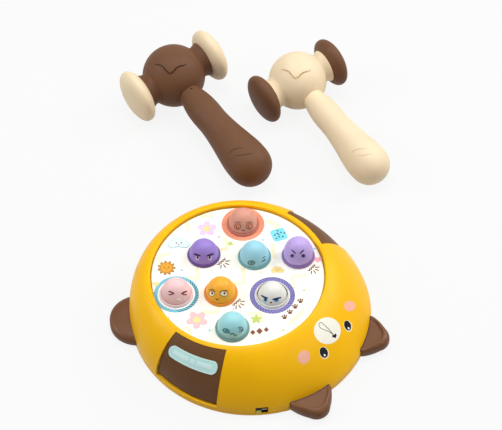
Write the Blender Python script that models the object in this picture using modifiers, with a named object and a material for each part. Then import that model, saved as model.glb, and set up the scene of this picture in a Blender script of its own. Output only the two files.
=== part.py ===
"""Mole pounding game: a round animal-shaped base with eight sprung moles, and two hammers.

Metres, +Z up. The origin lies on the table under the middle of the base. The face and the
ears point to -Y, the feet to +Y, and the play panel sits a little behind the middle.
"""
import bpy
import bmesh
from math import acos, asin, atan2, copysign, cos, hypot, pi, radians, sin, sqrt
from mathutils import Matrix, Vector

# Fits
GAP = 0.0003                # between two pieces that touch
OVERRUN = 0.0040            # how far a cutter runs past what it cuts

# Base: the driving sizes of the body
PANEL_RADIUS = 0.0900
SHOULDER_WIDTH = 0.0362     # from the edge of the panel out to the wall, seen from above
BASE_RADIUS = PANEL_RADIUS + SHOULDER_WIDTH
BAND_HEIGHT = 0.0100        # upright band above the table, before the shoulder starts
RIM_HEIGHT = 0.0584
PANEL_SHIFT = 0.0167        # the panel's middle lies this far behind the base's middle
SHOULDER_POWER = 1.53
WALL = 0.0030
FLOOR = 0.0022
SEAM_HEIGHT = 0.0040
EDGE_ROUND = 0.0012
TONGUE_WALL = 0.0016
TONGUE_RISE = 0.0016
RIM_ROUND = 0.0017
PRINT_DEPTH = 0.0036        # from the crest of the rim down to the printed sheet
SHEET_THICKNESS = 0.0004
PANEL_THICKNESS = 0.0024
LEDGE_WIDTH = 0.0050
LEDGE_THICKNESS = 0.0022

# Moles
MOLE_RADIUS = 0.0154
MOLE_CLEARANCE = 0.0004     # round the mole in its collar
MOLE_STANDS = 0.0033        # the foot of the dome above the printed sheet, at its usual height
DOME_HEIGHT = 0.0170
DOME_SIDE_POWER = 2.235     # how full the dome is across
DOME_TOP_POWER = 1.45       # and upwards
POP_TRAVEL = 0.0060
PRESS_TRAVEL = 0.0080
MOLE_WALL = 0.0018
MOLE_FOOT_WIDTH = 0.0015
MOLE_FOOT_THICKNESS = 0.0014
MOLE_POST_RADIUS = 0.0024
SPRING_SEAT_DEPTH = 0.0121  # from the foot of the dome down to the face that the spring pushes on
COLLAR_WALL = 0.0006
COLLAR_FLANGE = 0.0010
COLLAR_HEIGHT = 0.0026
COLLAR_STEP = 0.0010
COLLAR_TAIL = 0.0036        # how far the collar hangs below the panel
SPRING_RADIUS = 0.0062
SPRING_WIRE = 0.0009
SPRING_TURNS = 3
SPRING_POINTS = 8

# name: place across and along the panel, in shares of the room that a collar has inside the ledge
MOLE_PLACE_SHARES = {
    "purple": (0.0, 0.6416),
    "white": (0.0, -0.6416),
    "teal": (0.4238, 0.0),
    "orange": (-0.4238, 0.0),
    "lilac": (0.8344, -0.5222),
    "salmon": (0.8344, 0.5222),
    "pink": (-0.8344, 0.5222),
    "mint": (-0.8344, -0.5222),
}
LILAC_RISE = 0.0052
WHITE_SINK = 0.0050

# Side patches
PATCH_TURN = radians(3.5)       # turned towards the face from square to the body
PATCH_HALF_TURN = radians(17)
PATCH_BOTTOM = 0.0080
PATCH_TOP_SHARE = 0.886
PATCH_SINK_TOP = 0.0006
PATCH_SINK_BOTTOM = 0.0030
PATCH_THICKNESS = 0.0016
PATCH_BACKING = 0.0020
LABEL_HALF_TURN = radians(14.4)
LABEL_HALF_WIDTH = 0.0055
LABEL_THICKNESS = 0.0006
LABEL_PLACE_SHARE = 0.52
LABEL_END_SHARE = 0.18      # how much of its width the label keeps at its round ends

# Ears and feet
PAD_BOTTOM = 0.0026
PAD_ROUND = 0.0036
PAD_TANG = 0.0110           # how far an ear or a foot reaches in behind the wall
PAD_FLANGE = 0.0030
PAD_FLANGE_SIDE = 0.0036
EAR_TURN = radians(22.6)    # from the middle line of the two ears
EAR_LEAN = radians(-3.1)    # that line lies this far round from the middle line of the base
EAR_TOP = 0.0152
EAR_REACH = 0.0247
EAR_HALF_WIDTH = 0.0246
EAR_TIP_RADIUS = 0.0108
EAR_RIM = 0.0052
EAR_DISH = 0.0014
FOOT_TURN = radians(43.3)   # from the line through the back
FOOT_TOP = 0.0165
FOOT_REACH = 0.0220
FOOT_HALF_WIDTH = 0.0270
FOOT_ROOT = 0.0062          # the foot's widest line lies this far inside the wall's face
FOOT_POWER = 2.4            # 2 would make half an ellipse

# Power switch
SWITCH_TURN = radians(-139.8)
SWITCH_HEIGHT = 0.0100
SWITCH_SLOT_WIDTH = 0.0124
SWITCH_SLOT_HEIGHT = 0.0062
KNOB_WIDTH = 0.0056
KNOB_HEIGHT = 0.0050
KNOB_PROUD = 0.0012
SWITCH_CASE_WIDTH = 0.0180
SWITCH_CASE_HEIGHT = 0.0076
SWITCH_CASE_DEPTH = 0.0060

# Batteries, their box and its door
CELL_RADIUS = 0.00715
CELL_LENGTH = 0.0490
CELL_NUB_RADIUS = 0.0027
CELL_NUB_LENGTH = 0.0014
CELL_COUNT = 3
CELL_SPACING = 0.0003
CONTACT_REACH = 0.0030
CONTACT_THICKNESS = 0.0006
CONTACT_NUB_RADIUS = 0.0030
BOX_WALL = 0.0026
BOX_CLEARANCE = 0.0006
BOX_PLACE = 0.0360          # the battery box's middle lies this far behind the base's middle
DOOR_THICKNESS = 0.0018
DOOR_LEDGE = 0.0012
DOOR_TAB_WIDTH = 0.0080
DOOR_TAB_REACH = 0.0014
DOOR_TAB_SPACING = 0.0260
DOOR_LUG_RADIUS = 0.0050
DOOR_LUG_THICKNESS = 0.0036
DOOR_SCREW_OUT = 0.0036

# Screws
SCREW_RADIUS = 0.0013
SCREW_HEAD_RADIUS = 0.0026
SCREW_HEAD_THICKNESS = 0.0016
SCREW_LENGTH = 0.0110
SCREW_CLEARANCE = 0.0004
DOOR_SCREW_LENGTH = 0.0060
DOOR_SCREW_CLEARANCE = 0.0010
POST_RADIUS = 0.0046
POST_INSET = 0.0262         # from the wall's face in to the middle of a case screw
BOSS_HEIGHT = 0.0115
BOSS_SEAT = 0.0070
PILOT_DEPTH = 0.0095

# Board and speaker
BOARD_INSET = 0.0140        # the board is this much smaller all round than the panel
BOARD_THICKNESS = 0.0016
BOARD_LIFT = 0.0018         # above the top of the battery box
STANDOFF_RADIUS = 0.0032
STANDOFF_INSET = 0.0070     # from the edge of the board in to the middle of a standoff
STANDOFF_TURN = radians(38)
KEY_WIDTH = 0.0062
KEY_HEIGHT = 0.0050
SPEAKER_RADIUS = 0.0200
SPEAKER_FRAME = 0.0014
SPEAKER_DEPTH = 0.0110
SPEAKER_MAGNET_RADIUS = 0.0095
SPEAKER_INSET = 0.0562      # from the wall's face in to the middle of the speaker
SPEAKER_RING_WALL = 0.0016
SPEAKER_RING_HEIGHT = 0.0050
GRILLE_HOLE_RADIUS = 0.0020
GRILLE_TURN = radians(13)
GRILLE_CIRCLE_SHARES = {0.0: 1, 0.48: 7}

# Hammers
BALL_RADIUS = 0.0365
NECK_RADIUS = 0.0188
NECK_FLARE = 0.0212
NECK_MEET_SHARE = 1.06      # the ball ends where it is this much wider than the neck
NECK_WAIST_SHARE = 0.35     # and the neck is narrowest this far along to its end
FACE_RADIUS = 0.0316
FACE_RIM = 0.0504           # from the ball's middle to the widest line of a face
FACE_HALF_THICKNESS = 0.0125
FACE_POWER = 2.2            # 2 would make an ellipse
PEG_RADIUS = 0.0075
PEG_LENGTH = 0.0080
HANDLE_LENGTH = 0.1800      # from the ball's middle to the end of the handle
HANDLE_GRIP = 0.0253
# place along the handle, from the ball's middle, and radius, in shares of its length and grip
HANDLE_SHARES = [(0.16, 0.50), (0.215, 0.57), (0.29, 0.675), (0.37, 0.715), (0.47, 0.71),
                 (0.58, 0.78), (0.69, 0.895), (0.78, 0.985), (0.85, 1.0), (0.925, 0.89), (0.975, 0.62)]
SPIGOT_RADIUS = 0.0092
SPIGOT_DEPTH = 0.0150
# name: place of the ball's middle on the table and the way the handle points
BROWN_PLACE = (0.1996, 0.2579)
BROWN_HEADING = radians(-108.9)
CREAM_PLACE = (0.2805, 0.1391)
CREAM_HEADING = radians(-110.6)
CREAM_SIZE_SHARE = 0.925    # the cream hammer is shown a little smaller than the brown one

# Faces round each turned piece
BODY_STEPS = 36
MOLE_STEPS = 12
HAMMER_STEPS = 16
SMALL_STEPS = 10

# Worked out from the sizes above
BORE_RADIUS = PANEL_RADIUS + GAP
RIM_RADIUS = BORE_RADIUS + RIM_ROUND
SHEET_TOP = RIM_HEIGHT - PRINT_DEPTH
PANEL_TOP = SHEET_TOP - SHEET_THICKNESS - GAP
PANEL_BOTTOM = PANEL_TOP - PANEL_THICKNESS
LEDGE_TOP = PANEL_BOTTOM - GAP
LEDGE_BOTTOM = LEDGE_TOP - LEDGE_THICKNESS
POST_CIRCLE = BASE_RADIUS - POST_INSET
BOARD_RADIUS = PANEL_RADIUS - BOARD_INSET
STANDOFF_CIRCLE = BOARD_RADIUS - STANDOFF_INSET
SPEAKER_PLACE = SPEAKER_INSET - BASE_RADIUS
SHOULDER_SPAN = hypot(BASE_RADIUS - RIM_RADIUS, RIM_HEIGHT - BAND_HEIGHT)
TONGUE_TOP = SEAM_HEIGHT + TONGUE_RISE
COLLAR_BORE = MOLE_RADIUS + MOLE_CLEARANCE
COLLAR_SLEEVE = COLLAR_BORE + COLLAR_WALL
COLLAR_HOLE = COLLAR_SLEEVE + GAP
COLLAR_BOTTOM = PANEL_BOTTOM - COLLAR_TAIL
MOLE_FIELD = BORE_RADIUS - LEDGE_WIDTH - COLLAR_HOLE
MOLE_MIDDLE = SHEET_TOP + MOLE_STANDS
MOLE_FOOT_TOP = COLLAR_BOTTOM - POP_TRAVEL - GAP
FACE_BACK_SHARE = (1 - (NECK_FLARE / FACE_RADIUS) ** FACE_POWER) ** (1 / FACE_POWER)
FACE_BACK = FACE_RIM - FACE_HALF_THICKNESS * FACE_BACK_SHARE
HEAD_HALF = FACE_BACK - GAP
CELL_WAY = 2 * CELL_RADIUS + CELL_SPACING
CELL_HEIGHT = DOOR_THICKNESS + GAP + CELL_RADIUS
DOOR_SEAT = SCREW_HEAD_THICKNESS + 2 * GAP
BOX_INNER_X = CELL_LENGTH + CELL_NUB_LENGTH + 2 * (CONTACT_REACH + CONTACT_THICKNESS + GAP)
BOX_INNER_Y = CELL_COUNT * CELL_WAY + BOX_CLEARANCE
BOX_INNER_TOP = CELL_HEIGHT + CELL_RADIUS + GAP
BOX_TOP = BOX_INNER_TOP + BOX_WALL
BOARD_BOTTOM = BOX_TOP + BOARD_LIFT
BOARD_TOP = BOARD_BOTTOM + BOARD_THICKNESS
KEY_TOP = BOARD_TOP + KEY_HEIGHT
MOLE_POST_BOTTOM = KEY_TOP + PRESS_TRAVEL + GAP
SPRING_TOP = MOLE_MIDDLE - SPRING_SEAT_DEPTH

for old in list(bpy.data.objects):
    bpy.data.objects.remove(old, do_unlink=True)

PARTS = bpy.data.collections.new("mole_pounding_game")
CUTTERS = bpy.data.collections.new("cutters")
bpy.context.scene.collection.children.link(PARTS)
bpy.context.scene.collection.children.link(CUTTERS)


# Materials

def linear(channel):
    """A colour channel of 0 to 255, as seen on a screen, in the light that it stands for."""
    share = channel / 255
    return share / 12.92 if share <= 0.04045 else ((share + 0.055) / 1.055) ** 2.4


def plastic(name, colour, roughness=0.42, metallic=0.0):
    made = bpy.data.materials.new(name)
    made.use_nodes = True
    shader = made.node_tree.nodes["Principled BSDF"]
    shader.inputs["Base Color"].default_value = (*[linear(c) for c in colour], 1.0)
    shader.inputs["Roughness"].default_value = roughness
    shader.inputs["Metallic"].default_value = metallic
    return made


YELLOW = plastic("yellow_plastic", (252, 188, 28))
BROWN = plastic("brown_plastic", (122, 78, 54), 0.5)
CREAM = plastic("cream_plastic", (243, 222, 190), 0.5)
LABEL_BLUE = plastic("label_blue", (165, 215, 205), 0.35)
PRINTED = plastic("printed_sheet", (252, 246, 224), 0.3)
BLACK = plastic("black_plastic", (32, 32, 34), 0.5)
PALE_KNOB = plastic("pale_knob", (225, 232, 200), 0.4)
BOARD_GREEN = plastic("board_green", (40, 104, 62), 0.5)
STEEL = plastic("steel", (190, 192, 196), 0.3, 1.0)
CELL_SHELL = plastic("cell_shell", (70, 78, 92), 0.35)
MOLE_COLOURS = {
    "purple": (140, 110, 190),
    "white": (232, 230, 222),
    "teal": (150, 205, 212),
    "orange": (250, 165, 40),
    "lilac": (183, 155, 226),
    "salmon": (205, 138, 116),
    "pink": (236, 184, 188),
    "mint": (146, 200, 204),
}


# Ways of making a solid

def keep(name, mesh, finish, collection=PARTS):
    """Put a mesh in the scene under a name, with one finish, shaded smooth between sharp edges."""
    made = bpy.data.objects.new(name, mesh)
    collection.objects.link(made)
    if collection is CUTTERS:
        made.hide_render = True
        made.display_type = "WIRE"
    if finish is not None:
        mesh.materials.append(finish)
    mesh.shade_smooth()
    mesh.set_sharp_from_angle(angle=radians(35))
    return made


def to_mesh(name, bm, tolerance=1e-7):
    """Weld, turn the faces outwards and write a bmesh into a new mesh."""
    bmesh.ops.remove_doubles(bm, verts=bm.verts, dist=tolerance)
    bmesh.ops.recalc_face_normals(bm, faces=bm.faces)
    mesh = bpy.data.meshes.new(name)
    bm.to_mesh(mesh)
    bm.free()
    return mesh


def turned_mesh(name, outline, steps):
    """Spin an outline of (radius, height) or (radius, height, shift) points round Z.

    An outline that starts and ends on the axis makes a solid piece, any other a ring. The
    shift carries the whole circle of its point towards +Y, for a body that leans.
    """
    bm = bmesh.new()
    lean = bm.verts.layers.float.new("lean")
    row = []
    for point in outline:
        vert = bm.verts.new((point[0], 0, point[1]))
        vert[lean] = point[2] if len(point) > 2 else 0
        row.append(vert)
    ring = outline[0][0] > 0 or outline[-1][0] > 0
    pairs = list(zip(row, row[1:] + row[:1])) if ring else list(zip(row, row[1:]))
    edges = [bm.edges.new(pair) for pair in pairs]
    bmesh.ops.spin(bm, geom=row + edges, cent=(0, 0, 0), axis=(0, 0, 1), angle=2 * pi,
                   steps=steps, use_merge=True, use_duplicate=False)
    for vert in bm.verts:
        vert.co.y += vert[lean]
    bm.verts.layers.float.remove(lean)
    return to_mesh(name, bm)


def turned(name, outline, steps, finish, collection=PARTS):
    return keep(name, turned_mesh(name, outline, steps), finish, collection)


def prism(name, outline, bottom, top, finish=None, collection=CUTTERS):
    """A flat outline of (x, y) points raised from one height to another."""
    bm = bmesh.new()
    floor = bm.faces.new([bm.verts.new((x, y, bottom)) for x, y in outline])
    raised = bmesh.ops.extrude_face_region(bm, geom=[floor])
    moved = [item for item in raised["geom"] if isinstance(item, bmesh.types.BMVert)]
    bmesh.ops.translate(bm, vec=(0, 0, top - bottom), verts=moved)
    return keep(name, to_mesh(name, bm), finish, collection)


def box(name, low, high, finish=None, collection=CUTTERS):
    size = [b - a for a, b in zip(low, high)]
    middle = [(a + b) / 2 for a, b in zip(low, high)]
    bm = bmesh.new()
    bmesh.ops.create_cube(bm, size=1, matrix=Matrix.Translation(middle) @ Matrix.Diagonal((*size, 1)))
    return keep(name, to_mesh(name, bm), finish, collection)


def rod(name, radius, bottom, top, place=(0, 0), steps=SMALL_STEPS, finish=None, collection=CUTTERS,
        turn=0.0):
    """A round bar whose first edge stands at +X, as in a turned piece."""
    bm = bmesh.new()
    middle = Matrix.Translation((*place, (bottom + top) / 2)) @ Matrix.Rotation(turn - pi / 2, 4, "Z")
    bmesh.ops.create_cone(bm, cap_ends=True, segments=steps, radius1=radius, radius2=radius,
                          depth=top - bottom, matrix=middle)
    return keep(name, to_mesh(name, bm), finish, collection)


def lofted(name, sections, finish=None, collection=CUTTERS):
    """Join closed sections with the same number of points, and close both ends."""
    bm = bmesh.new()
    rows = [[bm.verts.new(point) for point in section] for section in sections]
    count = len(rows[0])
    for near, far in zip(rows, rows[1:]):
        for i in range(count):
            j = (i + 1) % count
            bm.faces.new((near[i], near[j], far[j], far[i]))
    bm.faces.new(rows[0])
    bm.faces.new(rows[-1])
    bmesh.ops.triangulate(bm, faces=[face for face in bm.faces if len(face.verts) == 4])
    return keep(name, to_mesh(name, bm), finish, collection)


def combine(target, other, operation):
    step = target.modifiers.new(operation.lower() + "_" + other.name, "BOOLEAN")
    step.operation = operation
    step.solver = "EXACT"
    step.object = other


def cut(target, *others):
    for other in others:
        combine(target, other, "DIFFERENCE")


def join(target, *others):
    for other in others:
        combine(target, other, "UNION")


def rounded(target, width, segments=2, angle=50):
    step = target.modifiers.new("rounded", "BEVEL")
    step.width = width
    step.segments = segments
    step.limit_method = "ANGLE"
    step.angle_limit = radians(angle)


# The body's surface

def shoulder(place):
    """Radius and height of the shoulder, from 0 at the band to 1 on the crest of the rim."""
    turn = place * pi / 2
    power = 2 / SHOULDER_POWER
    radius = RIM_RADIUS + (BASE_RADIUS - RIM_RADIUS) * max(cos(turn), 0) ** power
    height = BAND_HEIGHT + (RIM_HEIGHT - BAND_HEIGHT) * max(sin(turn), 0) ** power
    return radius, height


def body_point(place, depth=0.0):
    """Radius, height and shift of the body's side, a depth below its face.

    The place runs from -1 on the table through 0 at the top of the band to 1 on the rim.
    """
    if place <= 0:
        return BASE_RADIUS - depth, BAND_HEIGHT * (1 + place), 0.0
    radius, height = shoulder(place)
    low = shoulder(max(place - 0.01, 0))
    high = shoulder(min(place + 0.01, 1))
    along = (high[0] - low[0], high[1] - low[1])
    length = hypot(*along)
    shift = PANEL_SHIFT * (height - BAND_HEIGHT) / (RIM_HEIGHT - BAND_HEIGHT)
    return radius - depth * along[1] / length, height + depth * along[0] / length, shift


def body_at(place, depth, angle):
    """The point of the body's side that is seen from the Z axis at an angle."""
    radius, height, shift = body_point(place, depth)
    out = shift * sin(angle) + sqrt(radius ** 2 - (shift * cos(angle)) ** 2)
    return Vector((out * cos(angle), out * sin(angle), height))


def place_under(height, depth):
    """The place on the shoulder whose point, a depth below the face, has this height."""
    low, high = 0.0, 1.0
    for _ in range(40):
        middle = (low + high) / 2
        low, high = (middle, high) if body_point(middle, depth)[1] < height else (low, middle)
    return low


def band_place(height):
    return height / BAND_HEIGHT - 1


def patch_sink(place):
    """How far a side patch lies below the body's face: deepest at its lower edge."""
    low = band_place(PATCH_BOTTOM)
    share = (place - low) / (PATCH_TOP_SHARE - low)
    return PATCH_SINK_BOTTOM + (PATCH_SINK_TOP - PATCH_SINK_BOTTOM) * min(max(share, 0), 1)


def skin_block(name, turns, places, outer, inner, columns=5, rows=5, finish=None, collection=CUTTERS):
    """A block of the body's side between two turns and two places, from one depth to another."""
    sections = []
    for i in range(columns + 1):
        angle = turns[0] + (turns[1] - turns[0]) * i / columns
        steps = [places[0] + (places[1] - places[0]) * j / rows for j in range(rows + 1)]
        front = [body_at(place, outer(place), angle) for place in steps]
        back = [body_at(place, inner(place), angle) for place in reversed(steps)]
        sections.append(front + back)
    return lofted(name, sections, finish, collection)


def at_angle(radius, angle):
    return radius * cos(angle), radius * sin(angle)


def face_out(outline, angle):
    """Turn an outline of (outward, sideways) points to stand at an angle round the base."""
    return [(out * cos(angle) - side * sin(angle), out * sin(angle) + side * cos(angle))
            for out, side in outline]


# Ears and feet

def ear_outline(grow=0.0, inner=BASE_RADIUS - WALL - PAD_TANG):
    """A rounded triangle: straight sides from the root, tangent to the round tip."""
    tip = EAR_TIP_RADIUS + grow
    middle = BASE_RADIUS + EAR_REACH - EAR_TIP_RADIUS
    half = EAR_HALF_WIDTH + grow
    away = (BASE_RADIUS - middle, half)
    lean = atan2(away[1], away[0]) - acos(tip / hypot(*away))
    arc = [-lean + 2 * lean * i / 8 for i in range(9)]
    curve = [(middle + tip * cos(turn), tip * sin(turn)) for turn in arc]
    return [(inner, -half), (BASE_RADIUS, -half)] + curve + [(BASE_RADIUS, half), (inner, half)]


def oval_point(turn, power):
    """Shares across and along of the point at a turn of an oval; a power above 2 makes it fuller."""
    across, along = cos(turn), sin(turn)
    return copysign(abs(across) ** (2 / power), across), copysign(abs(along) ** (2 / power), along)


def foot_outline(grow=0.0, inner=BASE_RADIUS - WALL - PAD_TANG):
    """Half a full oval on a straight root."""
    root = BASE_RADIUS - FOOT_ROOT
    long = FOOT_REACH + FOOT_ROOT + grow
    half = FOOT_HALF_WIDTH + grow
    curve = []
    for i in range(13):
        across, out = oval_point(pi * i / 12, FOOT_POWER)
        curve.append((root + long * out, -half * across))
    return [(inner, -half)] + curve + [(inner, half)]


def pad(name, outline, angle, top, half, dish):
    """An ear or a foot with its tang and flange behind the wall, and the cutter for its slot."""
    made = prism(name, face_out(outline(), angle), PAD_BOTTOM, top, BROWN, PARTS)
    rounded(made, PAD_ROUND)
    inner = BASE_RADIUS - WALL - PAD_TANG
    side = half + PAD_FLANGE_SIDE
    flange = [(inner - GAP, -side), (inner + PAD_FLANGE, -side), (inner + PAD_FLANGE, side),
              (inner - GAP, side)]
    join(made, prism(name + "_flange", face_out(flange, angle), PAD_BOTTOM + PAD_ROUND / 4,
                     top - PAD_ROUND / 2))
    if dish:
        hollow = outline(-EAR_RIM, BASE_RADIUS - WALL)
        cut(made, prism(name + "_dish", face_out(hollow, angle), top - EAR_DISH, top + OVERRUN))
    slot = prism(name + "_slot", face_out(outline(GAP, inner + PAD_FLANGE), angle),
                 PAD_BOTTOM - GAP, top + GAP)
    rounded(slot, PAD_ROUND)
    return made, slot


def ears_and_feet():
    slots = []
    for side, name in ((-1, "left"), (1, "right")):
        ear_angle = -pi / 2 + side * EAR_TURN + EAR_LEAN
        foot_angle = pi / 2 - side * FOOT_TURN
        slots.append(pad("ear_" + name, ear_outline, ear_angle, EAR_TOP, EAR_HALF_WIDTH, True)[1])
        slots.append(pad("foot_" + name, foot_outline, foot_angle, FOOT_TOP, FOOT_HALF_WIDTH, False)[1])
    return slots


# Side patches

def patch_turns(side, spare=0.0):
    """The two turns that bound a side patch; side is -1 at -X and 1 at +X."""
    middle = -PATCH_TURN if side > 0 else pi + PATCH_TURN
    return middle - PATCH_HALF_TURN - spare, middle + PATCH_HALF_TURN + spare


def side_patches(shell):
    bottom = band_place(PATCH_BOTTOM)
    for side, name in ((-1, "left"), (1, "right")):
        spare = GAP / RIM_RADIUS
        backing = PATCH_BACKING / RIM_RADIUS
        pocket_floor = PATCH_THICKNESS + GAP
        low = band_place(PATCH_BOTTOM - PATCH_BACKING)
        high = (1 + PATCH_TOP_SHARE) / 2
        join(shell, skin_block("patch_backing_" + name, patch_turns(side, backing), (low, high),
                               lambda place: WALL / 2,
                               lambda place: patch_sink(place) + pocket_floor + PATCH_BACKING))
        cut(shell, skin_block("patch_pocket_" + name, patch_turns(side), (bottom, PATCH_TOP_SHARE),
                              lambda place: -OVERRUN / 4,
                              lambda place: patch_sink(place) + pocket_floor))
        places = (bottom + GAP / BAND_HEIGHT, PATCH_TOP_SHARE - GAP / SHOULDER_SPAN)
        skin_block("side_patch_" + name, patch_turns(side, -spare), places, patch_sink,
                   lambda place: patch_sink(place) + PATCH_THICKNESS,
                   finish=BROWN, collection=PARTS)


def label_plate():
    """A thin capsule that lies along the left patch, a gap above it."""
    middle = pi + PATCH_TURN
    sections = []
    for i in range(13):
        turn = -cos(pi * i / 12) * LABEL_HALF_TURN
        from_end = (LABEL_HALF_TURN - abs(turn)) * RIM_RADIUS
        inside = min(from_end / LABEL_HALF_WIDTH, 1)
        half = LABEL_HALF_WIDTH * max(sqrt(1 - (1 - inside) ** 2), LABEL_END_SHARE)
        reach = half / SHOULDER_SPAN
        angle = middle + turn
        low, high = LABEL_PLACE_SHARE - reach, LABEL_PLACE_SHARE + reach
        face = [body_at(p, patch_sink(p) - GAP - LABEL_THICKNESS, angle)
                for p in (low, LABEL_PLACE_SHARE, high)]
        back = [body_at(p, patch_sink(p) - GAP, angle) for p in (high, LABEL_PLACE_SHARE, low)]
        sections.append(face + back)
    lofted("label_plate", sections, LABEL_BLUE, PARTS)


# Power switch

def power_switch(shell):
    face = BASE_RADIUS
    behind = face - WALL

    def block(name, out, width, heights, finish=None, collection=CUTTERS, sideways=0.0):
        outline = [(out[0], sideways - width / 2), (out[1], sideways - width / 2),
                   (out[1], sideways + width / 2), (out[0], sideways + width / 2)]
        return prism(name, face_out(outline, SWITCH_TURN), heights[0], heights[1], finish, collection)

    def about(height):
        return SWITCH_HEIGHT - height / 2, SWITCH_HEIGHT + height / 2

    cut(shell, block("switch_slot", (behind - OVERRUN, face + OVERRUN), SWITCH_SLOT_WIDTH,
                     about(SWITCH_SLOT_HEIGHT)))
    top = place_under(SWITCH_HEIGHT + SWITCH_CASE_HEIGHT / 2, WALL)
    spread = asin(SWITCH_CASE_WIDTH / 2 / behind)
    corners = [body_at(top, WALL, SWITCH_TURN + turn).xy.length * cos(spread)
               for turn in (-spread, spread)]
    front = min(corners) * cos(pi / BODY_STEPS) - GAP
    block("power_switch_case", (front - SWITCH_CASE_DEPTH, front), SWITCH_CASE_WIDTH,
          about(SWITCH_CASE_HEIGHT), STEEL, PARTS)
    knob_side = -(SWITCH_SLOT_WIDTH - KNOB_WIDTH) / 2 + GAP
    knob = block("power_knob", (front + GAP, face + KNOB_PROUD), KNOB_WIDTH, about(KNOB_HEIGHT),
                 PALE_KNOB, PARTS, knob_side)
    rounded(knob, GAP, 1)


# Shells, panel and printed sheet

def post_places():
    return [at_angle(POST_CIRCLE, radians(45 + 90 * i)) for i in range(4)]


def upper_shell(slots):
    start = band_place(SEAM_HEIGHT + GAP)
    outer_places = [start, 0.0] + [i / 8 for i in range(1, 9)]
    top = place_under(LEDGE_BOTTOM, WALL)
    inner_places = [top * i / 5 for i in range(5, 0, -1)]
    outline = [body_point(place) for place in outer_places]
    crest = RIM_ROUND * (1 - cos(pi / 4))
    outline.append((BORE_RADIUS + crest, RIM_HEIGHT - crest, PANEL_SHIFT))
    outline.append((BORE_RADIUS, RIM_HEIGHT - RIM_ROUND, PANEL_SHIFT))
    outline.append((BORE_RADIUS, LEDGE_TOP, PANEL_SHIFT))
    outline.append((BORE_RADIUS - LEDGE_WIDTH, LEDGE_TOP, PANEL_SHIFT))
    outline.append((BORE_RADIUS - LEDGE_WIDTH, LEDGE_BOTTOM, PANEL_SHIFT))
    outline += [body_point(place, WALL) for place in inner_places]
    outline.append(body_point(0.0, WALL))
    outline.append(body_point(start, WALL))
    shell = turned("upper_shell", outline, BODY_STEPS, YELLOW)

    core_outline = [body_point(place, WALL / 2) for place in outer_places if place < 0.95]
    core_outline = [(0.0, core_outline[0][1])] + core_outline + [(0.0, core_outline[-1][1])]
    core = turned("post_core", core_outline, BODY_STEPS, None, CUTTERS)
    for i, place in enumerate(post_places()):
        post = rod("shell_post_%d" % (i + 1), POST_RADIUS, BOSS_HEIGHT + GAP, LEDGE_BOTTOM, place)
        combine(post, core, "INTERSECT")
        join(shell, post)
    side_patches(shell)
    cut(shell, *slots)
    power_switch(shell)
    for i, place in enumerate(post_places()):
        cut(shell, rod("pilot_%d" % (i + 1), SCREW_RADIUS + GAP, BOSS_HEIGHT - OVERRUN,
                       BOSS_HEIGHT + PILOT_DEPTH, place))
    return shell


def standoff_places():
    turns = (STANDOFF_TURN, pi - STANDOFF_TURN, pi + STANDOFF_TURN, -STANDOFF_TURN)
    spots = [at_angle(STANDOFF_CIRCLE, turn) for turn in turns]
    return [(x, y + PANEL_SHIFT) for x, y in spots]


def door_screw_place():
    return BOX_INNER_X / 2 + DOOR_LEDGE + DOOR_SCREW_OUT, BOX_PLACE


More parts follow.
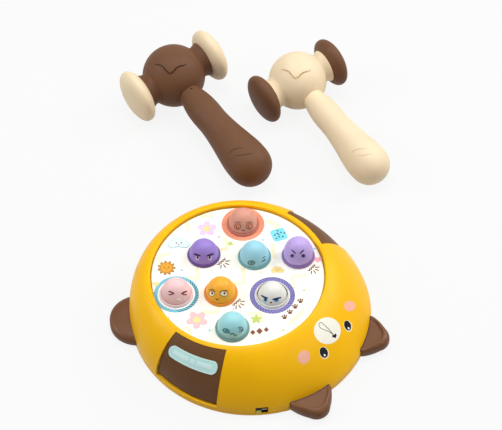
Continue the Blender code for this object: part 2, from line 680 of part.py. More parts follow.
def lower_shell(slots):
    inner = BASE_RADIUS - WALL - GAP
    knee = EDGE_ROUND * (1 - cos(pi / 4))
    outline = [(0.0, 0.0), (BASE_RADIUS - EDGE_ROUND, 0.0), (BASE_RADIUS - knee, knee),
               (BASE_RADIUS, EDGE_ROUND), (BASE_RADIUS, SEAM_HEIGHT), (inner, SEAM_HEIGHT),
               (inner, TONGUE_TOP), (inner - TONGUE_WALL, TONGUE_TOP), (inner - TONGUE_WALL, FLOOR),
               (0.0, FLOOR)]
    shell = turned("lower_shell", outline, BODY_STEPS, YELLOW)
    half_x, half_y = BOX_INNER_X / 2, BOX_INNER_Y / 2
    wall = BOX_WALL + DOOR_LEDGE
    join(shell, box("battery_box", (-half_x - wall, BOX_PLACE - half_y - wall, FLOOR / 2),
                    (half_x + wall, BOX_PLACE + half_y + wall, BOX_TOP)))
    screw_x, screw_y = door_screw_place()
    join(shell, rod("door_boss", DOOR_LUG_RADIUS + BOX_WALL / 2, FLOOR / 2, BOSS_HEIGHT,
                    (screw_x, screw_y), 12))
    for i, place in enumerate(post_places()):
        join(shell, rod("case_boss_%d" % (i + 1), POST_RADIUS, FLOOR / 2, BOSS_HEIGHT, place))
    for i, place in enumerate(standoff_places()):
        join(shell, rod("standoff_%d" % (i + 1), STANDOFF_RADIUS, FLOOR / 2, BOARD_BOTTOM - GAP, place, 8))
    ring_in = SPEAKER_RADIUS + GAP
    ring = [(ring_in, FLOOR / 2), (ring_in + SPEAKER_RING_WALL, FLOOR / 2),
            (ring_in + SPEAKER_RING_WALL, FLOOR + SPEAKER_RING_HEIGHT),
            (ring_in, FLOOR + SPEAKER_RING_HEIGHT)]
    speaker_ring = turned("speaker_ring", ring, 20, None, CUTTERS)
    speaker_ring.location = (0, SPEAKER_PLACE, 0)
    join(shell, speaker_ring)

    cut(shell, box("battery_space", (-half_x, BOX_PLACE - half_y, -OVERRUN),
                   (half_x, BOX_PLACE + half_y, BOX_INNER_TOP)))
    ledge_x, ledge_y = half_x + DOOR_LEDGE, half_y + DOOR_LEDGE
    cut(shell, box("door_space", (-ledge_x - GAP, BOX_PLACE - ledge_y - GAP, -OVERRUN),
                   (ledge_x + GAP, BOX_PLACE + ledge_y + GAP, DOOR_THICKNESS + GAP)))
    cut(shell, rod("door_lug_space", DOOR_LUG_RADIUS + DOOR_SCREW_CLEARANCE / 2, -OVERRUN,
                   DOOR_LUG_THICKNESS + GAP, (screw_x, screw_y), 12))
    cut(shell, rod("door_screw_hole", SCREW_RADIUS + DOOR_SCREW_CLEARANCE, -OVERRUN,
                   DOOR_SEAT + DOOR_SCREW_LENGTH + DOOR_SCREW_CLEARANCE, (screw_x, screw_y)))
    for i, sign in enumerate((-1, 1)):
        middle = BOX_PLACE + sign * DOOR_TAB_SPACING / 2
        reach = ledge_x + DOOR_TAB_REACH + 2 * GAP
        cut(shell, box("door_tab_space_%d" % (i + 1),
                       (-reach, middle - DOOR_TAB_WIDTH / 2 - GAP, -OVERRUN),
                       (-half_x, middle + DOOR_TAB_WIDTH / 2 + GAP, DOOR_THICKNESS + GAP)))
    for i, place in enumerate(post_places()):
        cut(shell, rod("head_space_%d" % (i + 1), SCREW_HEAD_RADIUS + SCREW_CLEARANCE, -OVERRUN,
                       BOSS_SEAT, place))
        cut(shell, rod("shank_space_%d" % (i + 1), SCREW_RADIUS + SCREW_CLEARANCE,
                       BOSS_SEAT - OVERRUN, BOSS_HEIGHT + OVERRUN, place))
    for share, count in GRILLE_CIRCLE_SHARES.items():
        for i in range(count):
            x, y = at_angle(share * SPEAKER_RADIUS, 2 * pi * i / count + GRILLE_TURN)
            cut(shell, rod("grille_%d_%d" % (round(100 * share), i), GRILLE_HOLE_RADIUS, -OVERRUN,
                           FLOOR + SPEAKER_FRAME / 4, (x, y + SPEAKER_PLACE), 6, turn=GRILLE_TURN))
    cut(shell, *slots)


def mole_places():
    return {name: (x * MOLE_FIELD, y * MOLE_FIELD + PANEL_SHIFT)
            for name, (x, y) in MOLE_PLACE_SHARES.items()}


def pierced_disc(name, radius, bottom, top, finish):
    """A round plate with a hole for each mole's collar."""
    plate = rod(name, radius, bottom, top, (0, PANEL_SHIFT), BODY_STEPS, finish, PARTS)
    for mole, place in mole_places().items():
        cut(plate, rod(name + "_hole_" + mole, COLLAR_HOLE, bottom - OVERRUN, top + OVERRUN,
                       place, MOLE_STEPS))


# Moles

def mole_rest(name):
    """How far a mole stands above its usual height."""
    return {"lilac": LILAC_RISE, "white": -WHITE_SINK}.get(name, 0.0)


def mole_cap_mesh():
    """The mole about the foot of its dome: dome, skirt, stop foot, spring seat and press post."""
    inner = MOLE_RADIUS - MOLE_WALL
    foot_top = MOLE_FOOT_TOP - MOLE_MIDDLE
    foot_bottom = foot_top - MOLE_FOOT_THICKNESS
    seat = SPRING_TOP - MOLE_MIDDLE
    turns = [radians(a) for a in (66, 45, 25, 8)]
    dome = [(MOLE_RADIUS * cos(a) ** (2 / DOME_SIDE_POWER), DOME_HEIGHT * sin(a) ** (2 / DOME_TOP_POWER))
            for a in turns]
    outline = [(0.0, DOME_HEIGHT)] + dome + [
        (MOLE_RADIUS, foot_top), (MOLE_RADIUS + MOLE_FOOT_WIDTH, foot_top),
        (MOLE_RADIUS + MOLE_FOOT_WIDTH, foot_bottom), (inner, foot_bottom), (inner, seat),
        (MOLE_POST_RADIUS, seat), (MOLE_POST_RADIUS, MOLE_POST_BOTTOM - MOLE_MIDDLE),
        (0.0, MOLE_POST_BOTTOM - MOLE_MIDDLE)]
    return turned_mesh("mole_cap", outline, MOLE_STEPS)


def collar_mesh():
    flange = COLLAR_SLEEVE + COLLAR_FLANGE
    base = SHEET_TOP + GAP
    outline = [(COLLAR_BORE, COLLAR_BOTTOM), (COLLAR_SLEEVE, COLLAR_BOTTOM), (COLLAR_SLEEVE, base),
               (flange, base), (flange, base + COLLAR_STEP), (COLLAR_SLEEVE, base + COLLAR_HEIGHT),
               (COLLAR_BORE, base + COLLAR_HEIGHT)]
    return turned_mesh("mole_collar", outline, MOLE_STEPS)


def mole_spring(name, place, rest, finish):
    """A coil between the board and the spring seat, with its two ends on half a turn each."""
    bottom = BOARD_TOP + GAP + SPRING_WIRE / 2
    top = SPRING_TOP + rest - GAP - SPRING_WIRE / 2
    count = SPRING_TURNS * SPRING_POINTS
    curve = bpy.data.curves.new(name, "CURVE")
    curve.dimensions = "3D"
    curve.bevel_depth = SPRING_WIRE / 2
    curve.bevel_resolution = 1
    curve.use_fill_caps = True
    spline = curve.splines.new("POLY")
    spline.points.add(count)
    for i, point in enumerate(spline.points):
        x, y = at_angle(SPRING_RADIUS, 2 * pi * i / SPRING_POINTS)
        point.co = (x, y, bottom + (top - bottom) * i / count, 1)
    drawn = bpy.data.objects.new(name + "_line", curve)
    CUTTERS.objects.link(drawn)
    bpy.context.view_layer.update()
    ready = drawn.evaluated_get(bpy.context.evaluated_depsgraph_get())
    mesh = bpy.data.meshes.new_from_object(ready)
    bpy.data.objects.remove(drawn, do_unlink=True)
    bm = bmesh.new()
    bm.from_mesh(mesh)
    made = keep(name, to_mesh(name, bm, SPRING_WIRE / 50), finish)
    made.location = (*place, 0)


def moles():
    cap = mole_cap_mesh()
    collar = collar_mesh()
    for name, place in mole_places().items():
        finish = plastic("mole_" + name, MOLE_COLOURS[name], 0.38)
        rest = mole_rest(name)
        made = keep("mole_" + name, cap.copy(), finish)
        made.location = (*place, MOLE_MIDDLE + rest)
        ring = keep("collar_" + name, collar.copy(), finish)
        ring.location = (*place, 0)
        mole_spring("spring_" + name, place, rest, STEEL)


# Board, speaker, batteries, door and screws

def circuit_board():
    board = rod("circuit_board", BOARD_RADIUS, BOARD_BOTTOM, BOARD_TOP, (0, PANEL_SHIFT), 28,
                BOARD_GREEN, PARTS)
    half = KEY_WIDTH / 2
    for name, (x, y) in mole_places().items():
        join(board, box("key_" + name, (x - half, y - half, BOARD_TOP - BOARD_THICKNESS / 2),
                        (x + half, y + half, KEY_TOP)))


def speaker():
    base = FLOOR + GAP
    outline = [(0.0, base), (SPEAKER_RADIUS, base), (SPEAKER_RADIUS, base + SPEAKER_FRAME),
               (SPEAKER_RADIUS - SPEAKER_FRAME, base + SPEAKER_FRAME),
               (SPEAKER_MAGNET_RADIUS, base + SPEAKER_DEPTH / 2),
               (SPEAKER_MAGNET_RADIUS, base + SPEAKER_DEPTH), (0.0, base + SPEAKER_DEPTH)]
    made = turned("speaker", outline, 18, BLACK)
    made.location = (0, SPEAKER_PLACE, 0)


def batteries():
    half = CELL_LENGTH / 2
    outline = [(0.0, -half), (CELL_RADIUS, -half), (CELL_RADIUS, half), (CELL_NUB_RADIUS, half),
               (CELL_NUB_RADIUS, half + CELL_NUB_LENGTH), (0.0, half + CELL_NUB_LENGTH)]
    mesh = turned_mesh("battery", outline, 12)
    height = CELL_HEIGHT
    for i in range(CELL_COUNT):
        side = 1 if i % 2 else -1
        cell = keep("battery_%d" % (i + 1), mesh.copy(), CELL_SHELL)
        cell.rotation_euler = (0, side * pi / 2, 0)
        middle = BOX_PLACE + (i - (CELL_COUNT - 1) / 2) * CELL_WAY
        cell.location = (-side * CELL_NUB_LENGTH / 2, middle, height)
    end = BOX_INNER_X / 2 - GAP
    for side, name in ((-1, "left"), (1, "right")):
        near, far = sorted((side * (end - CONTACT_THICKNESS), side * end))
        reach_y = BOX_INNER_Y / 2 - BOX_CLEARANCE
        plate = box("contact_plate_" + name,
                    (near, BOX_PLACE - reach_y, height - CELL_RADIUS / 2),
                    (far, BOX_PLACE + reach_y, height + CELL_RADIUS / 2), STEEL, PARTS)
        tip = half + CELL_NUB_LENGTH / 2 + GAP
        for i in range(CELL_COUNT):
            middle = BOX_PLACE + (i - (CELL_COUNT - 1) / 2) * CELL_WAY
            nub = rod("contact_nub_%s_%d" % (name, i), CONTACT_NUB_RADIUS, 0,
                      end - CONTACT_THICKNESS / 2 - tip, (0, 0), 6)
            nub.rotation_euler = (0, side * pi / 2, 0)
            nub.location = (side * tip, middle, height)
            join(plate, nub)


def screw(name, place, seat, length):
    """A pan-head screw that points up, its head under the seat."""
    outline = [(0.0, seat - SCREW_HEAD_THICKNESS), (SCREW_HEAD_RADIUS, seat - SCREW_HEAD_THICKNESS),
               (SCREW_HEAD_RADIUS, seat), (SCREW_RADIUS, seat), (SCREW_RADIUS, seat + length),
               (0.0, seat + length)]
    made = turned(name, outline, SMALL_STEPS, STEEL)
    made.location = (*place, 0)
    return made


def battery_door():
    """The door on the axis of its outer edge, where its tabs are, with the screw that stays in it."""
    half_x = BOX_INNER_X / 2 + DOOR_LEDGE
    half_y = BOX_INNER_Y / 2 + DOOR_LEDGE
    hinge = bpy.data.objects.new("battery_door_axis", None)
    PARTS.objects.link(hinge)
    hinge.location = (-half_x, BOX_PLACE, 0)
    door = box("battery_door", (0, -half_y, 0), (2 * half_x, half_y, DOOR_THICKNESS), YELLOW, PARTS)
    door.parent = hinge
    screw_x = door_screw_place()[0] + half_x
    lug = rod("door_lug", DOOR_LUG_RADIUS, 0, DOOR_LUG_THICKNESS, (screw_x, 0), 12)
    arm = box("door_arm", (2 * half_x - DOOR_LEDGE / 2, -DOOR_LUG_RADIUS / 2, 0),
              (screw_x, DOOR_LUG_RADIUS / 2, DOOR_THICKNESS - GAP))
    tabs = []
    for i, sign in enumerate((-1, 1)):
        middle = sign * DOOR_TAB_SPACING / 2
        tabs.append(box("door_tab_%d" % (i + 1),
                        (-DOOR_TAB_REACH, middle - DOOR_TAB_WIDTH / 2, DOOR_THICKNESS / 4),
                        (DOOR_TAB_REACH, middle + DOOR_TAB_WIDTH / 2, DOOR_THICKNESS * 3 / 4)))
    hole = rod("door_hole", SCREW_RADIUS + GAP, -OVERRUN, OVERRUN * 2, (screw_x, 0))
    sink = rod("door_sink", SCREW_HEAD_RADIUS + GAP, -OVERRUN, DOOR_SEAT, (screw_x, 0), 12)
    pin = screw("door_screw", (screw_x, 0), DOOR_SEAT - GAP, DOOR_SCREW_LENGTH)
    for piece in (lug, arm, *tabs, hole, sink, pin):
        piece.parent = hinge
    join(door, arm, lug, *tabs)
    cut(door, hole, sink)


# Hammers

def resting_turn(outline):
    """The turn that lays a piece of (radius, length) points on the table beside the ball."""
    turns = []
    for radius, length in outline:
        reach = hypot(radius, length)
        if reach > BALL_RADIUS:
            turns.append(asin(BALL_RADIUS / reach) - atan2(radius, length))
    return min(turns)


def hammer_frame(name, place, heading, size_share):
    """An empty in the ball's middle: X along the handle, Y along the head, at rest on the table.

    The ball, the end of the handle and one of the two faces touch the table.
    """
    frame = bpy.data.objects.new(name + "_frame", None)
    PARTS.objects.link(frame)
    frame.location = (*place, BALL_RADIUS * size_share)
    frame.rotation_euler = (resting_turn(face_outline()), resting_turn(handle_outline()), heading)
    frame.scale = (size_share, size_share, size_share)
    return frame


def head_outline():
    """Half of the head from the middle outwards: ball, drawn-in neck and flared end."""
    meet = acos(NECK_RADIUS * NECK_MEET_SHARE / BALL_RADIUS)
    ball = [(BALL_RADIUS * cos(meet * i / 5), BALL_RADIUS * sin(meet * i / 5)) for i in range(6)]
    neck_end = ball[-1][1]
    waist = neck_end + (HEAD_HALF - neck_end) * NECK_WAIST_SHARE
    half = ball + [(NECK_RADIUS, waist), (NECK_FLARE, HEAD_HALF), (0.0, HEAD_HALF)]
    return [(r, -a) for r, a in reversed(half)] + half[1:]


def face_outline():
    """A striking face: a peg under a lens that is cut off square where it meets the head."""
    low = acos((NECK_FLARE / FACE_RADIUS) ** (FACE_POWER / 2))
    lens = []
    for i in range(8):
        out, along = oval_point(-low + (pi / 2 + low) * i / 8, FACE_POWER)
        lens.append((FACE_RADIUS * out, FACE_RIM + FACE_HALF_THICKNESS * along))
    peg_end = HEAD_HALF - PEG_LENGTH + GAP
    return [(0.0, peg_end), (PEG_RADIUS, peg_end), (PEG_RADIUS, FACE_BACK)] + lens + [
        (0.0, FACE_RIM + FACE_HALF_THICKNESS)]


def handle_outline():
    """The handle from inside the ball to its round end, radius against the way along it."""
    side = [(radius * HANDLE_GRIP, place * HANDLE_LENGTH) for place, radius in HANDLE_SHARES]
    return [(0.0, side[0][1])] + side + [(0.0, HANDLE_LENGTH)]


def turn_to(made, frame, axis):
    """Lay a piece that was turned round Z along the frame's X or Y."""
    made.parent = frame
    made.rotation_euler = (0, pi / 2, 0) if axis == "x" else (-pi / 2, 0, 0)
    return made


def hammer(name, place, heading, size_share, body, faces):
    frame = hammer_frame(name, place, heading, size_share)
    head = turn_to(turned(name + "_head", head_outline(), HAMMER_STEPS, body), frame, "y")
    for side in (-1, 1):
        bore = rod("%s_peg_bore_%d" % (name, side), PEG_RADIUS + GAP, HEAD_HALF - PEG_LENGTH,
                   HEAD_HALF + OVERRUN, steps=HAMMER_STEPS)
        bore.parent = frame
        bore.rotation_euler = (-side * pi / 2, 0, 0)
        cut(head, bore)
    socket = rod(name + "_socket", SPIGOT_RADIUS + GAP, SPIGOT_DEPTH - GAP, BALL_RADIUS + OVERRUN)
    cut(head, turn_to(socket, frame, "x"))

    handle = turn_to(turned(name + "_handle", handle_outline(), HAMMER_STEPS, body), frame, "x")
    seat_mesh = turned_mesh(name + "_seat", [
        ((BALL_RADIUS + GAP) * cos(radians(a)) if abs(a) < 90 else 0.0,
         (BALL_RADIUS + GAP) * sin(radians(a))) for a in range(-90, 91, 15)], HAMMER_STEPS)
    seat = turn_to(keep(name + "_seat", seat_mesh, None, CUTTERS), frame, "y")
    cut(handle, seat)
    spigot = rod(name + "_spigot", SPIGOT_RADIUS, SPIGOT_DEPTH, BALL_RADIUS + SPIGOT_RADIUS / 2)
    join(handle, turn_to(spigot, frame, "x"))

    face_mesh = turned_mesh(name + "_face", face_outline(), HAMMER_STEPS)
    for side, end in ((-1, "near"), (1, "far")):
        face = keep("%s_face_%s" % (name, end), face_mesh.copy(), faces)
        face.parent = frame
        face.rotation_euler = (-side * pi / 2, 0, 0)


slot_cutters = ears_and_feet()
upper_shell(slot_cutters)
lower_shell(slot_cutters)
label_plate()
pierced_disc("play_panel", PANEL_RADIUS, PANEL_BOTTOM, PANEL_TOP, CREAM)
pierced_disc("printed_sheet", PANEL_RADIUS - GAP, SHEET_TOP - SHEET_THICKNESS, SHEET_TOP, PRINTED)
moles()
circuit_board()
speaker()
batteries()
battery_door()
for number, spot in enumerate(post_places()):
    screw("case_screw_%d" % (number + 1), spot, BOSS_SEAT - GAP, SCREW_LENGTH)
hammer("brown_hammer", BROWN_PLACE, BROWN_HEADING, 1, BROWN, CREAM)
hammer("cream_hammer", CREAM_PLACE, CREAM_HEADING, CREAM_SIZE_SHARE, CREAM, BROWN)
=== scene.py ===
# %% [markdown]
# # A mole pounding game and its two hammers
#
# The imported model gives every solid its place. This lesson dresses it: the shells, moles, ears, feet
# and hammers get finer forms in about the space of their solids, the prints become thin films that
# lie on the surfaces, and each plastic gets a finish of its own made of nodes.

from math import acos, asin, atan2, copysign, cos, exp, hypot, pi, radians, sin, sqrt

import bmesh
import bpy
from mathutils import Matrix, Vector
from mathutils.bvhtree import BVHTree


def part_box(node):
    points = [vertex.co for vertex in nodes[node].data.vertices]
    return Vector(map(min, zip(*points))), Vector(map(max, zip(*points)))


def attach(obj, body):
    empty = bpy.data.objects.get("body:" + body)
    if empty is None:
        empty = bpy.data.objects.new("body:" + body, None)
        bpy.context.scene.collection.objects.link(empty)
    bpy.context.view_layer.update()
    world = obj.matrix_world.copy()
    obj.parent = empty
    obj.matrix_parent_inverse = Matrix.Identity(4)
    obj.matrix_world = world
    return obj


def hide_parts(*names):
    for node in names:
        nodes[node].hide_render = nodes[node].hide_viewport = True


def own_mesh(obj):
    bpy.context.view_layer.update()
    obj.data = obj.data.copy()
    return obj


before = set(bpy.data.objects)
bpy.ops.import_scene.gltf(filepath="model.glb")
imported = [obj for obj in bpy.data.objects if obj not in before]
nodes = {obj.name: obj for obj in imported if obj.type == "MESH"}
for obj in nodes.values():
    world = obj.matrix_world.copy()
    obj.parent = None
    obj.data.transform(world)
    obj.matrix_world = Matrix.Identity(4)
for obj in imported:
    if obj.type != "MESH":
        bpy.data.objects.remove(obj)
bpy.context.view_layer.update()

# %% [markdown]
# ## Camera
#
# The photograph looks down on the game from about fifty degrees, with a long lens. The place, the
# turn and the lens below were solved from the round panel, the base and the hammers, so the camera
# is typed in as it is. A camera looks along its own -Z, so its Z axis points back from the subject.

# %% Camera
CAMERA_AZIMUTH = radians(-53.6467)
CAMERA_ELEVATION = radians(50.7674)
CAMERA_DISTANCE = 1.73517
CAMERA_TARGET = Vector((0.08205, 0.06019, 0.04))
IMAGE_WIDTH = 502
IMAGE_HEIGHT = 430
FOCAL_PIXELS = 1613.379
SENSOR = 36

back = Vector((sin(CAMERA_AZIMUTH) * cos(CAMERA_ELEVATION),
               -cos(CAMERA_AZIMUTH) * cos(CAMERA_ELEVATION), sin(CAMERA_ELEVATION)))
camera_data = bpy.data.cameras.new("camera")
camera_data.sensor_width = SENSOR
camera_data.lens = SENSOR * FOCAL_PIXELS / IMAGE_WIDTH
camera_data.clip_start = 0.05
camera_data.clip_end = 50
camera = bpy.data.objects.new("camera", camera_data)
bpy.context.scene.collection.objects.link(camera)
camera.location = CAMERA_TARGET + back * CAMERA_DISTANCE
camera.rotation_mode = "QUATERNION"
camera.rotation_quaternion = (-back).to_track_quat("-Z", "Y")
bpy.context.scene.camera = camera
print("lens in mm:", round(camera_data.lens, 2))

# %% [markdown]
# ## Floor, white surroundings and light
#
# The product stands on plain white. The floor is a pale diffuse sheet, and only for rays that come
# from the camera, a mirror or a window is a good part of white light mixed in. So it looks white
# and keeps a soft shadow, and it doesn't pour more light on the object. The world does the same.

# %% Node helpers
def new_material(name):
    made = bpy.data.materials.new(name)
    made.use_nodes = True
    return made, made.node_tree.nodes, made.node_tree.links


def seen_directly(tree):
    """A value that is 1 on camera, glossy and transmission rays, and 0 on all others."""
    path = tree.nodes.new("ShaderNodeLightPath")
    first = tree.nodes.new("ShaderNodeMath")
    first.operation = "MAXIMUM"
    second = tree.nodes.new("ShaderNodeMath")
    second.operation = "MAXIMUM"
    tree.links.new(path.outputs["Is Camera Ray"], first.inputs[0])
    tree.links.new(path.outputs["Is Glossy Ray"], first.inputs[1])
    tree.links.new(first.outputs[0], second.inputs[0])
    tree.links.new(path.outputs["Is Transmission Ray"], second.inputs[1])
    return second.outputs[0]


# %% Floor and world
FLOOR_SIZE = 12.0
FLOOR_PLACE = (0.1, 0.1, -0.0002)
FLOOR_SHADE = (0.62, 0.62, 0.62, 1)
FLOOR_WHITE_SHARE = 0.88
ROOM_LIGHT = 0.16

floor_finish, floor_nodes, floor_links = new_material("floor")
floor_nodes["Principled BSDF"].inputs["Base Color"].default_value = FLOOR_SHADE
floor_nodes["Principled BSDF"].inputs["Roughness"].default_value = 0.9
floor_nodes["Principled BSDF"].inputs["Specular IOR Level"].default_value = 0.1
white = floor_nodes.new("ShaderNodeEmission")
share = floor_nodes.new("ShaderNodeMath")
share.operation = "MULTIPLY"
share.inputs[1].default_value = FLOOR_WHITE_SHARE
mixed = floor_nodes.new("ShaderNodeMixShader")
floor_links.new(seen_directly(floor_finish.node_tree), share.inputs[0])
floor_links.new(share.outputs[0], mixed.inputs[0])
floor_links.new(floor_nodes["Principled BSDF"].outputs[0], mixed.inputs[1])
floor_links.new(white.outputs[0], mixed.inputs[2])
floor_links.new(mixed.outputs[0], floor_nodes["Material Output"].inputs[0])

floor_form = bmesh.new()
bmesh.ops.create_grid(floor_form, x_segments=4, y_segments=4, size=FLOOR_SIZE / 2)
floor_mesh = bpy.data.meshes.new("floor")
floor_form.to_mesh(floor_mesh)
floor_form.free()
floor = bpy.data.objects.new("floor", floor_mesh)
floor.location = FLOOR_PLACE
floor_mesh.materials.append(floor_finish)
bpy.context.scene.collection.objects.link(floor)

world = bpy.data.worlds.new("room")
bpy.context.scene.world = world
world.use_nodes = True
soft = world.node_tree.nodes["Background"]
soft.inputs["Color"].default_value = (1.0, 0.985, 0.965, 1)
soft.inputs["Strength"].default_value = ROOM_LIGHT
bright = world.node_tree.nodes.new("ShaderNodeBackground")
world_mix = world.node_tree.nodes.new("ShaderNodeMixShader")
world.node_tree.links.new(seen_directly(world.node_tree), world_mix.inputs[0])
world.node_tree.links.new(soft.outputs[0], world_mix.inputs[1])
world.node_tree.links.new(bright.outputs[0], world_mix.inputs[2])
world.node_tree.links.new(world_mix.outputs[0], world.node_tree.nodes["World Output"].inputs[0])

scene = bpy.context.scene
scene.view_settings.view_transform = "Standard"
print("floor and world ready")


# %% Lamps
LAMP_TARGET = (0.08, 0.06, 0.03)


def soft_lamp(name, place, width, power, colour=(1, 1, 1)):
    lamp = bpy.data.lights.new(name, "AREA")
    lamp.shape = "DISK"
    lamp.size = width
    lamp.energy = power
    lamp.color = colour
    made = bpy.data.objects.new(name, lamp)
    made.location = place
    made.rotation_mode = "QUATERNION"
    made.rotation_quaternion = (Vector(LAMP_TARGET) - Vector(place)).to_track_quat("-Z", "Y")
    bpy.context.scene.collection.objects.link(made)


soft_lamp("key", (1.451, -0.540, 1.200), 0.9, 17, (1.0, 0.985, 0.96))
soft_lamp("overhead", (0.300, 0.280, 1.900), 1.3, 19.5)
soft_lamp("left", (-0.808, 1.265, 1.200), 0.9, 12.5, (0.97, 0.985, 1.0))
soft_lamp("front", (0.246, -1.428, 1.200), 0.9, 4.5)
print("lamps: 4")

# %% [markdown]
# ## Moulded plastic
#
# Nearly all of the toy is injection-moulded plastic, and no two pieces have quite the same surface.
# One recipe serves them all: a broad, faint cloud in the colour, a finer one in the roughness where
# hands have polished it, and a very fine grain as a bump, which breaks up the highlights. What changes
# from piece to piece is the colour, the gloss, and the size of the grain.

# %% Moulded plastic
COLOUR_CLOUD = 0.035
GLOSS_CLOUD = 0.012
PLASTIC_IOR = 1.49
COAT_ROUGHNESS = 0.22
# Painted shade: the pads darken near the shell, between these two radii, for the shadow in the gap where they
# meet it.
PAD_PAINTED_SHADE_SPAN = (0.1252, 0.1268)
PAD_PAINTED_SHADE_COLOUR = (62, 26, 12)


def linear(channel):
    part = channel / 255
    return part / 12.92 if part <= 0.04045 else ((part + 0.055) / 1.055) ** 2.4


def rgba(colour, gain=1.0):
    return (*[min(linear(c) * gain, 1.0) for c in colour], 1.0)


def cloud(tree, size, detail=3.0, stretch=(1, 1, 1)):
    """Noise whose features are about so many metres across, in the piece's own space."""
    place = tree.nodes.new("ShaderNodeTexCoord")
    scaled = tree.nodes.new("ShaderNodeMapping")
    scaled.inputs["Scale"].default_value = stretch
    noise = tree.nodes.new("ShaderNodeTexNoise")
    noise.inputs["Scale"].default_value = 1 / size
    noise.inputs["Detail"].default_value = detail
    tree.links.new(place.outputs["Object"], scaled.inputs[0])
    tree.links.new(scaled.outputs[0], noise.inputs["Vector"])
    return noise.outputs["Fac"]


def spread(tree, value, out_low, out_high, in_low=0.3, in_high=0.7):
    ranged = tree.nodes.new("ShaderNodeMapRange")
    for name, number in (("From Min", in_low), ("From Max", in_high), ("To Min", out_low),
                         ("To Max", out_high)):
        ranged.inputs[name].default_value = number
    tree.links.new(value, ranged.inputs["Value"])
    return ranged.outputs["Result"]


def blended(tree, factor, first, second):
    mix = tree.nodes.new("ShaderNodeMix")
    mix.data_type = "RGBA"
    mix.inputs["A"].default_value = first
    mix.inputs["B"].default_value = second
    tree.links.new(factor, mix.inputs["Factor"])
    return mix.outputs["Result"]


def raised(tree, height, distance, strength=1.0):
    bump = tree.nodes.new("ShaderNodeBump")
    bump.inputs["Strength"].default_value = strength
    bump.inputs["Distance"].default_value = distance
    tree.links.new(height, bump.inputs["Height"])
    return bump.outputs["Normal"]


def moulded(name, colour, rough=0.42, vary=0.05, grain=0.0006, depth=0.00002, coat=0.0, shine=0.5):
    """A moulded plastic of one colour, with faint clouds, uneven gloss and a fine grain."""
    made, made_nodes, links = new_material(name)
    tree = made.node_tree
    shader = made_nodes["Principled BSDF"]
    tint = blended(tree, spread(tree, cloud(tree, COLOUR_CLOUD), 0, 1), rgba(colour, 1 - vary),
                   rgba(colour, 1 + vary))
    links.new(tint, shader.inputs["Base Color"])
    links.new(spread(tree, cloud(tree, GLOSS_CLOUD), rough - 0.05, rough + 0.06), shader.inputs["Roughness"])
    links.new(raised(tree, cloud(tree, grain, 2.0), depth, 0.5), shader.inputs["Normal"])
    shader.inputs["IOR"].default_value = PLASTIC_IOR
    shader.inputs["Specular IOR Level"].default_value = shine
    shader.inputs["Coat Weight"].default_value = coat
    shader.inputs["Coat Roughness"].default_value = COAT_ROUGHNESS
    return made


shell_finish = moulded("shell_yellow", (255, 191, 3), 0.40, 0.03, shine=0.2)
trim_finish = moulded("trim_brown", (106, 69, 38), 0.50, 0.07, shine=0.25)
pad_finish = moulded("pad_brown", (112, 71, 40), 0.42, 0.07, shine=0.3)
hammer_brown = moulded("hammer_brown", (108, 73, 50), 0.55, 0.06, shine=0.22)
hammer_cream = moulded("hammer_cream", (240, 219, 184), 0.52, 0.03, shine=0.3)
panel_finish = moulded("panel_cream", (243, 224, 190), 0.5, 0.04)
black_finish = moulded("black_plastic", (20, 17, 16), 0.5, 0.10, shine=0.2)
knob_finish = moulded("pale_knob", (214, 208, 96), 0.38, 0.04, shine=0.2)
rail_finish = moulded("grey_rail", (178, 158, 148), 0.5, 0.08)
label_finish = moulded("label_blue", (200, 244, 240), 0.32, 0.05, coat=0.2)
label_pale_finish = moulded("label_pale", (222, 250, 244), 0.30, 0.03, coat=0.2)
label_bar_finish = moulded("label_bar", (224, 255, 252), 0.30, 0.04, coat=0.2)


def paint_shade_near_axis(made, near, far, colour):
    """Painted shade: let the colour fade to a dark shadow line where a piece comes nearer to the upright
    axis.
    """
    tree = made.node_tree
    shader = tree.nodes["Principled BSDF"]
    place = tree.nodes.new("ShaderNodeTexCoord")
    flat = tree.nodes.new("ShaderNodeVectorMath")
    flat.operation = "MULTIPLY"
    flat.inputs[1].default_value = (1, 1, 0)
    length = tree.nodes.new("ShaderNodeVectorMath")
    length.operation = "LENGTH"
    tree.links.new(place.outputs["Object"], flat.inputs[0])
    tree.links.new(flat.outputs[0], length.inputs[0])
    mix = tree.nodes.new("ShaderNodeMix")
    mix.data_type = "RGBA"
    mix.inputs["A"].default_value = rgba(colour)
    tree.links.new(spread(tree, length.outputs["Value"], 0, 1, near, far), mix.inputs["Factor"])
    tree.links.new(shader.inputs["Base Color"].links[0].from_socket, mix.inputs["B"])
    tree.links.new(mix.outputs["Result"], shader.inputs["Base Color"])


# Painted shade on the ears and feet: darker where they meet the shell, for the shadow in that gap.
paint_shade_near_axis(pad_finish, *PAD_PAINTED_SHADE_SPAN, PAD_PAINTED_SHADE_COLOUR)
print("plastics:", len([m for m in bpy.data.materials if m.use_nodes]) - 1)

# %% [markdown]
# ## Tools for shapes
#
# Most pieces here are turned, so an outline of radius and height spun round an axis makes them. The
# base leans: each circle of its outline is carried a little towards the back, in step with its
# height. A piece that is carved gets its cutters as Booleans, which are then applied, and the
# cutters are thrown away, so that what rides on the model is one clean mesh.

# %% Shape tools
SHARP = radians(38)


def join_rows(form, near, far):
    """Faces all the way round between two rows of as many corners."""
    return [form.faces.new([near[i], near[(i + 1) % len(near)], far[(i + 1) % len(far)], far[i]])
            for i in range(len(near))]


def keep(name, mesh, *finishes, smooth=True):
    made = bpy.data.objects.new(name, mesh)
    bpy.context.scene.collection.objects.link(made)
    for finish in finishes:
        mesh.materials.append(finish)
    if smooth:
        mesh.shade_smooth()
        mesh.set_sharp_from_angle(angle=SHARP)
    return made


def to_mesh(name, bm, tolerance=1e-7):
    bmesh.ops.remove_doubles(bm, verts=bm.verts, dist=tolerance)
    bmesh.ops.recalc_face_normals(bm, faces=bm.faces)
    mesh = bpy.data.meshes.new(name)
    bm.to_mesh(mesh)
    bm.free()
    return mesh


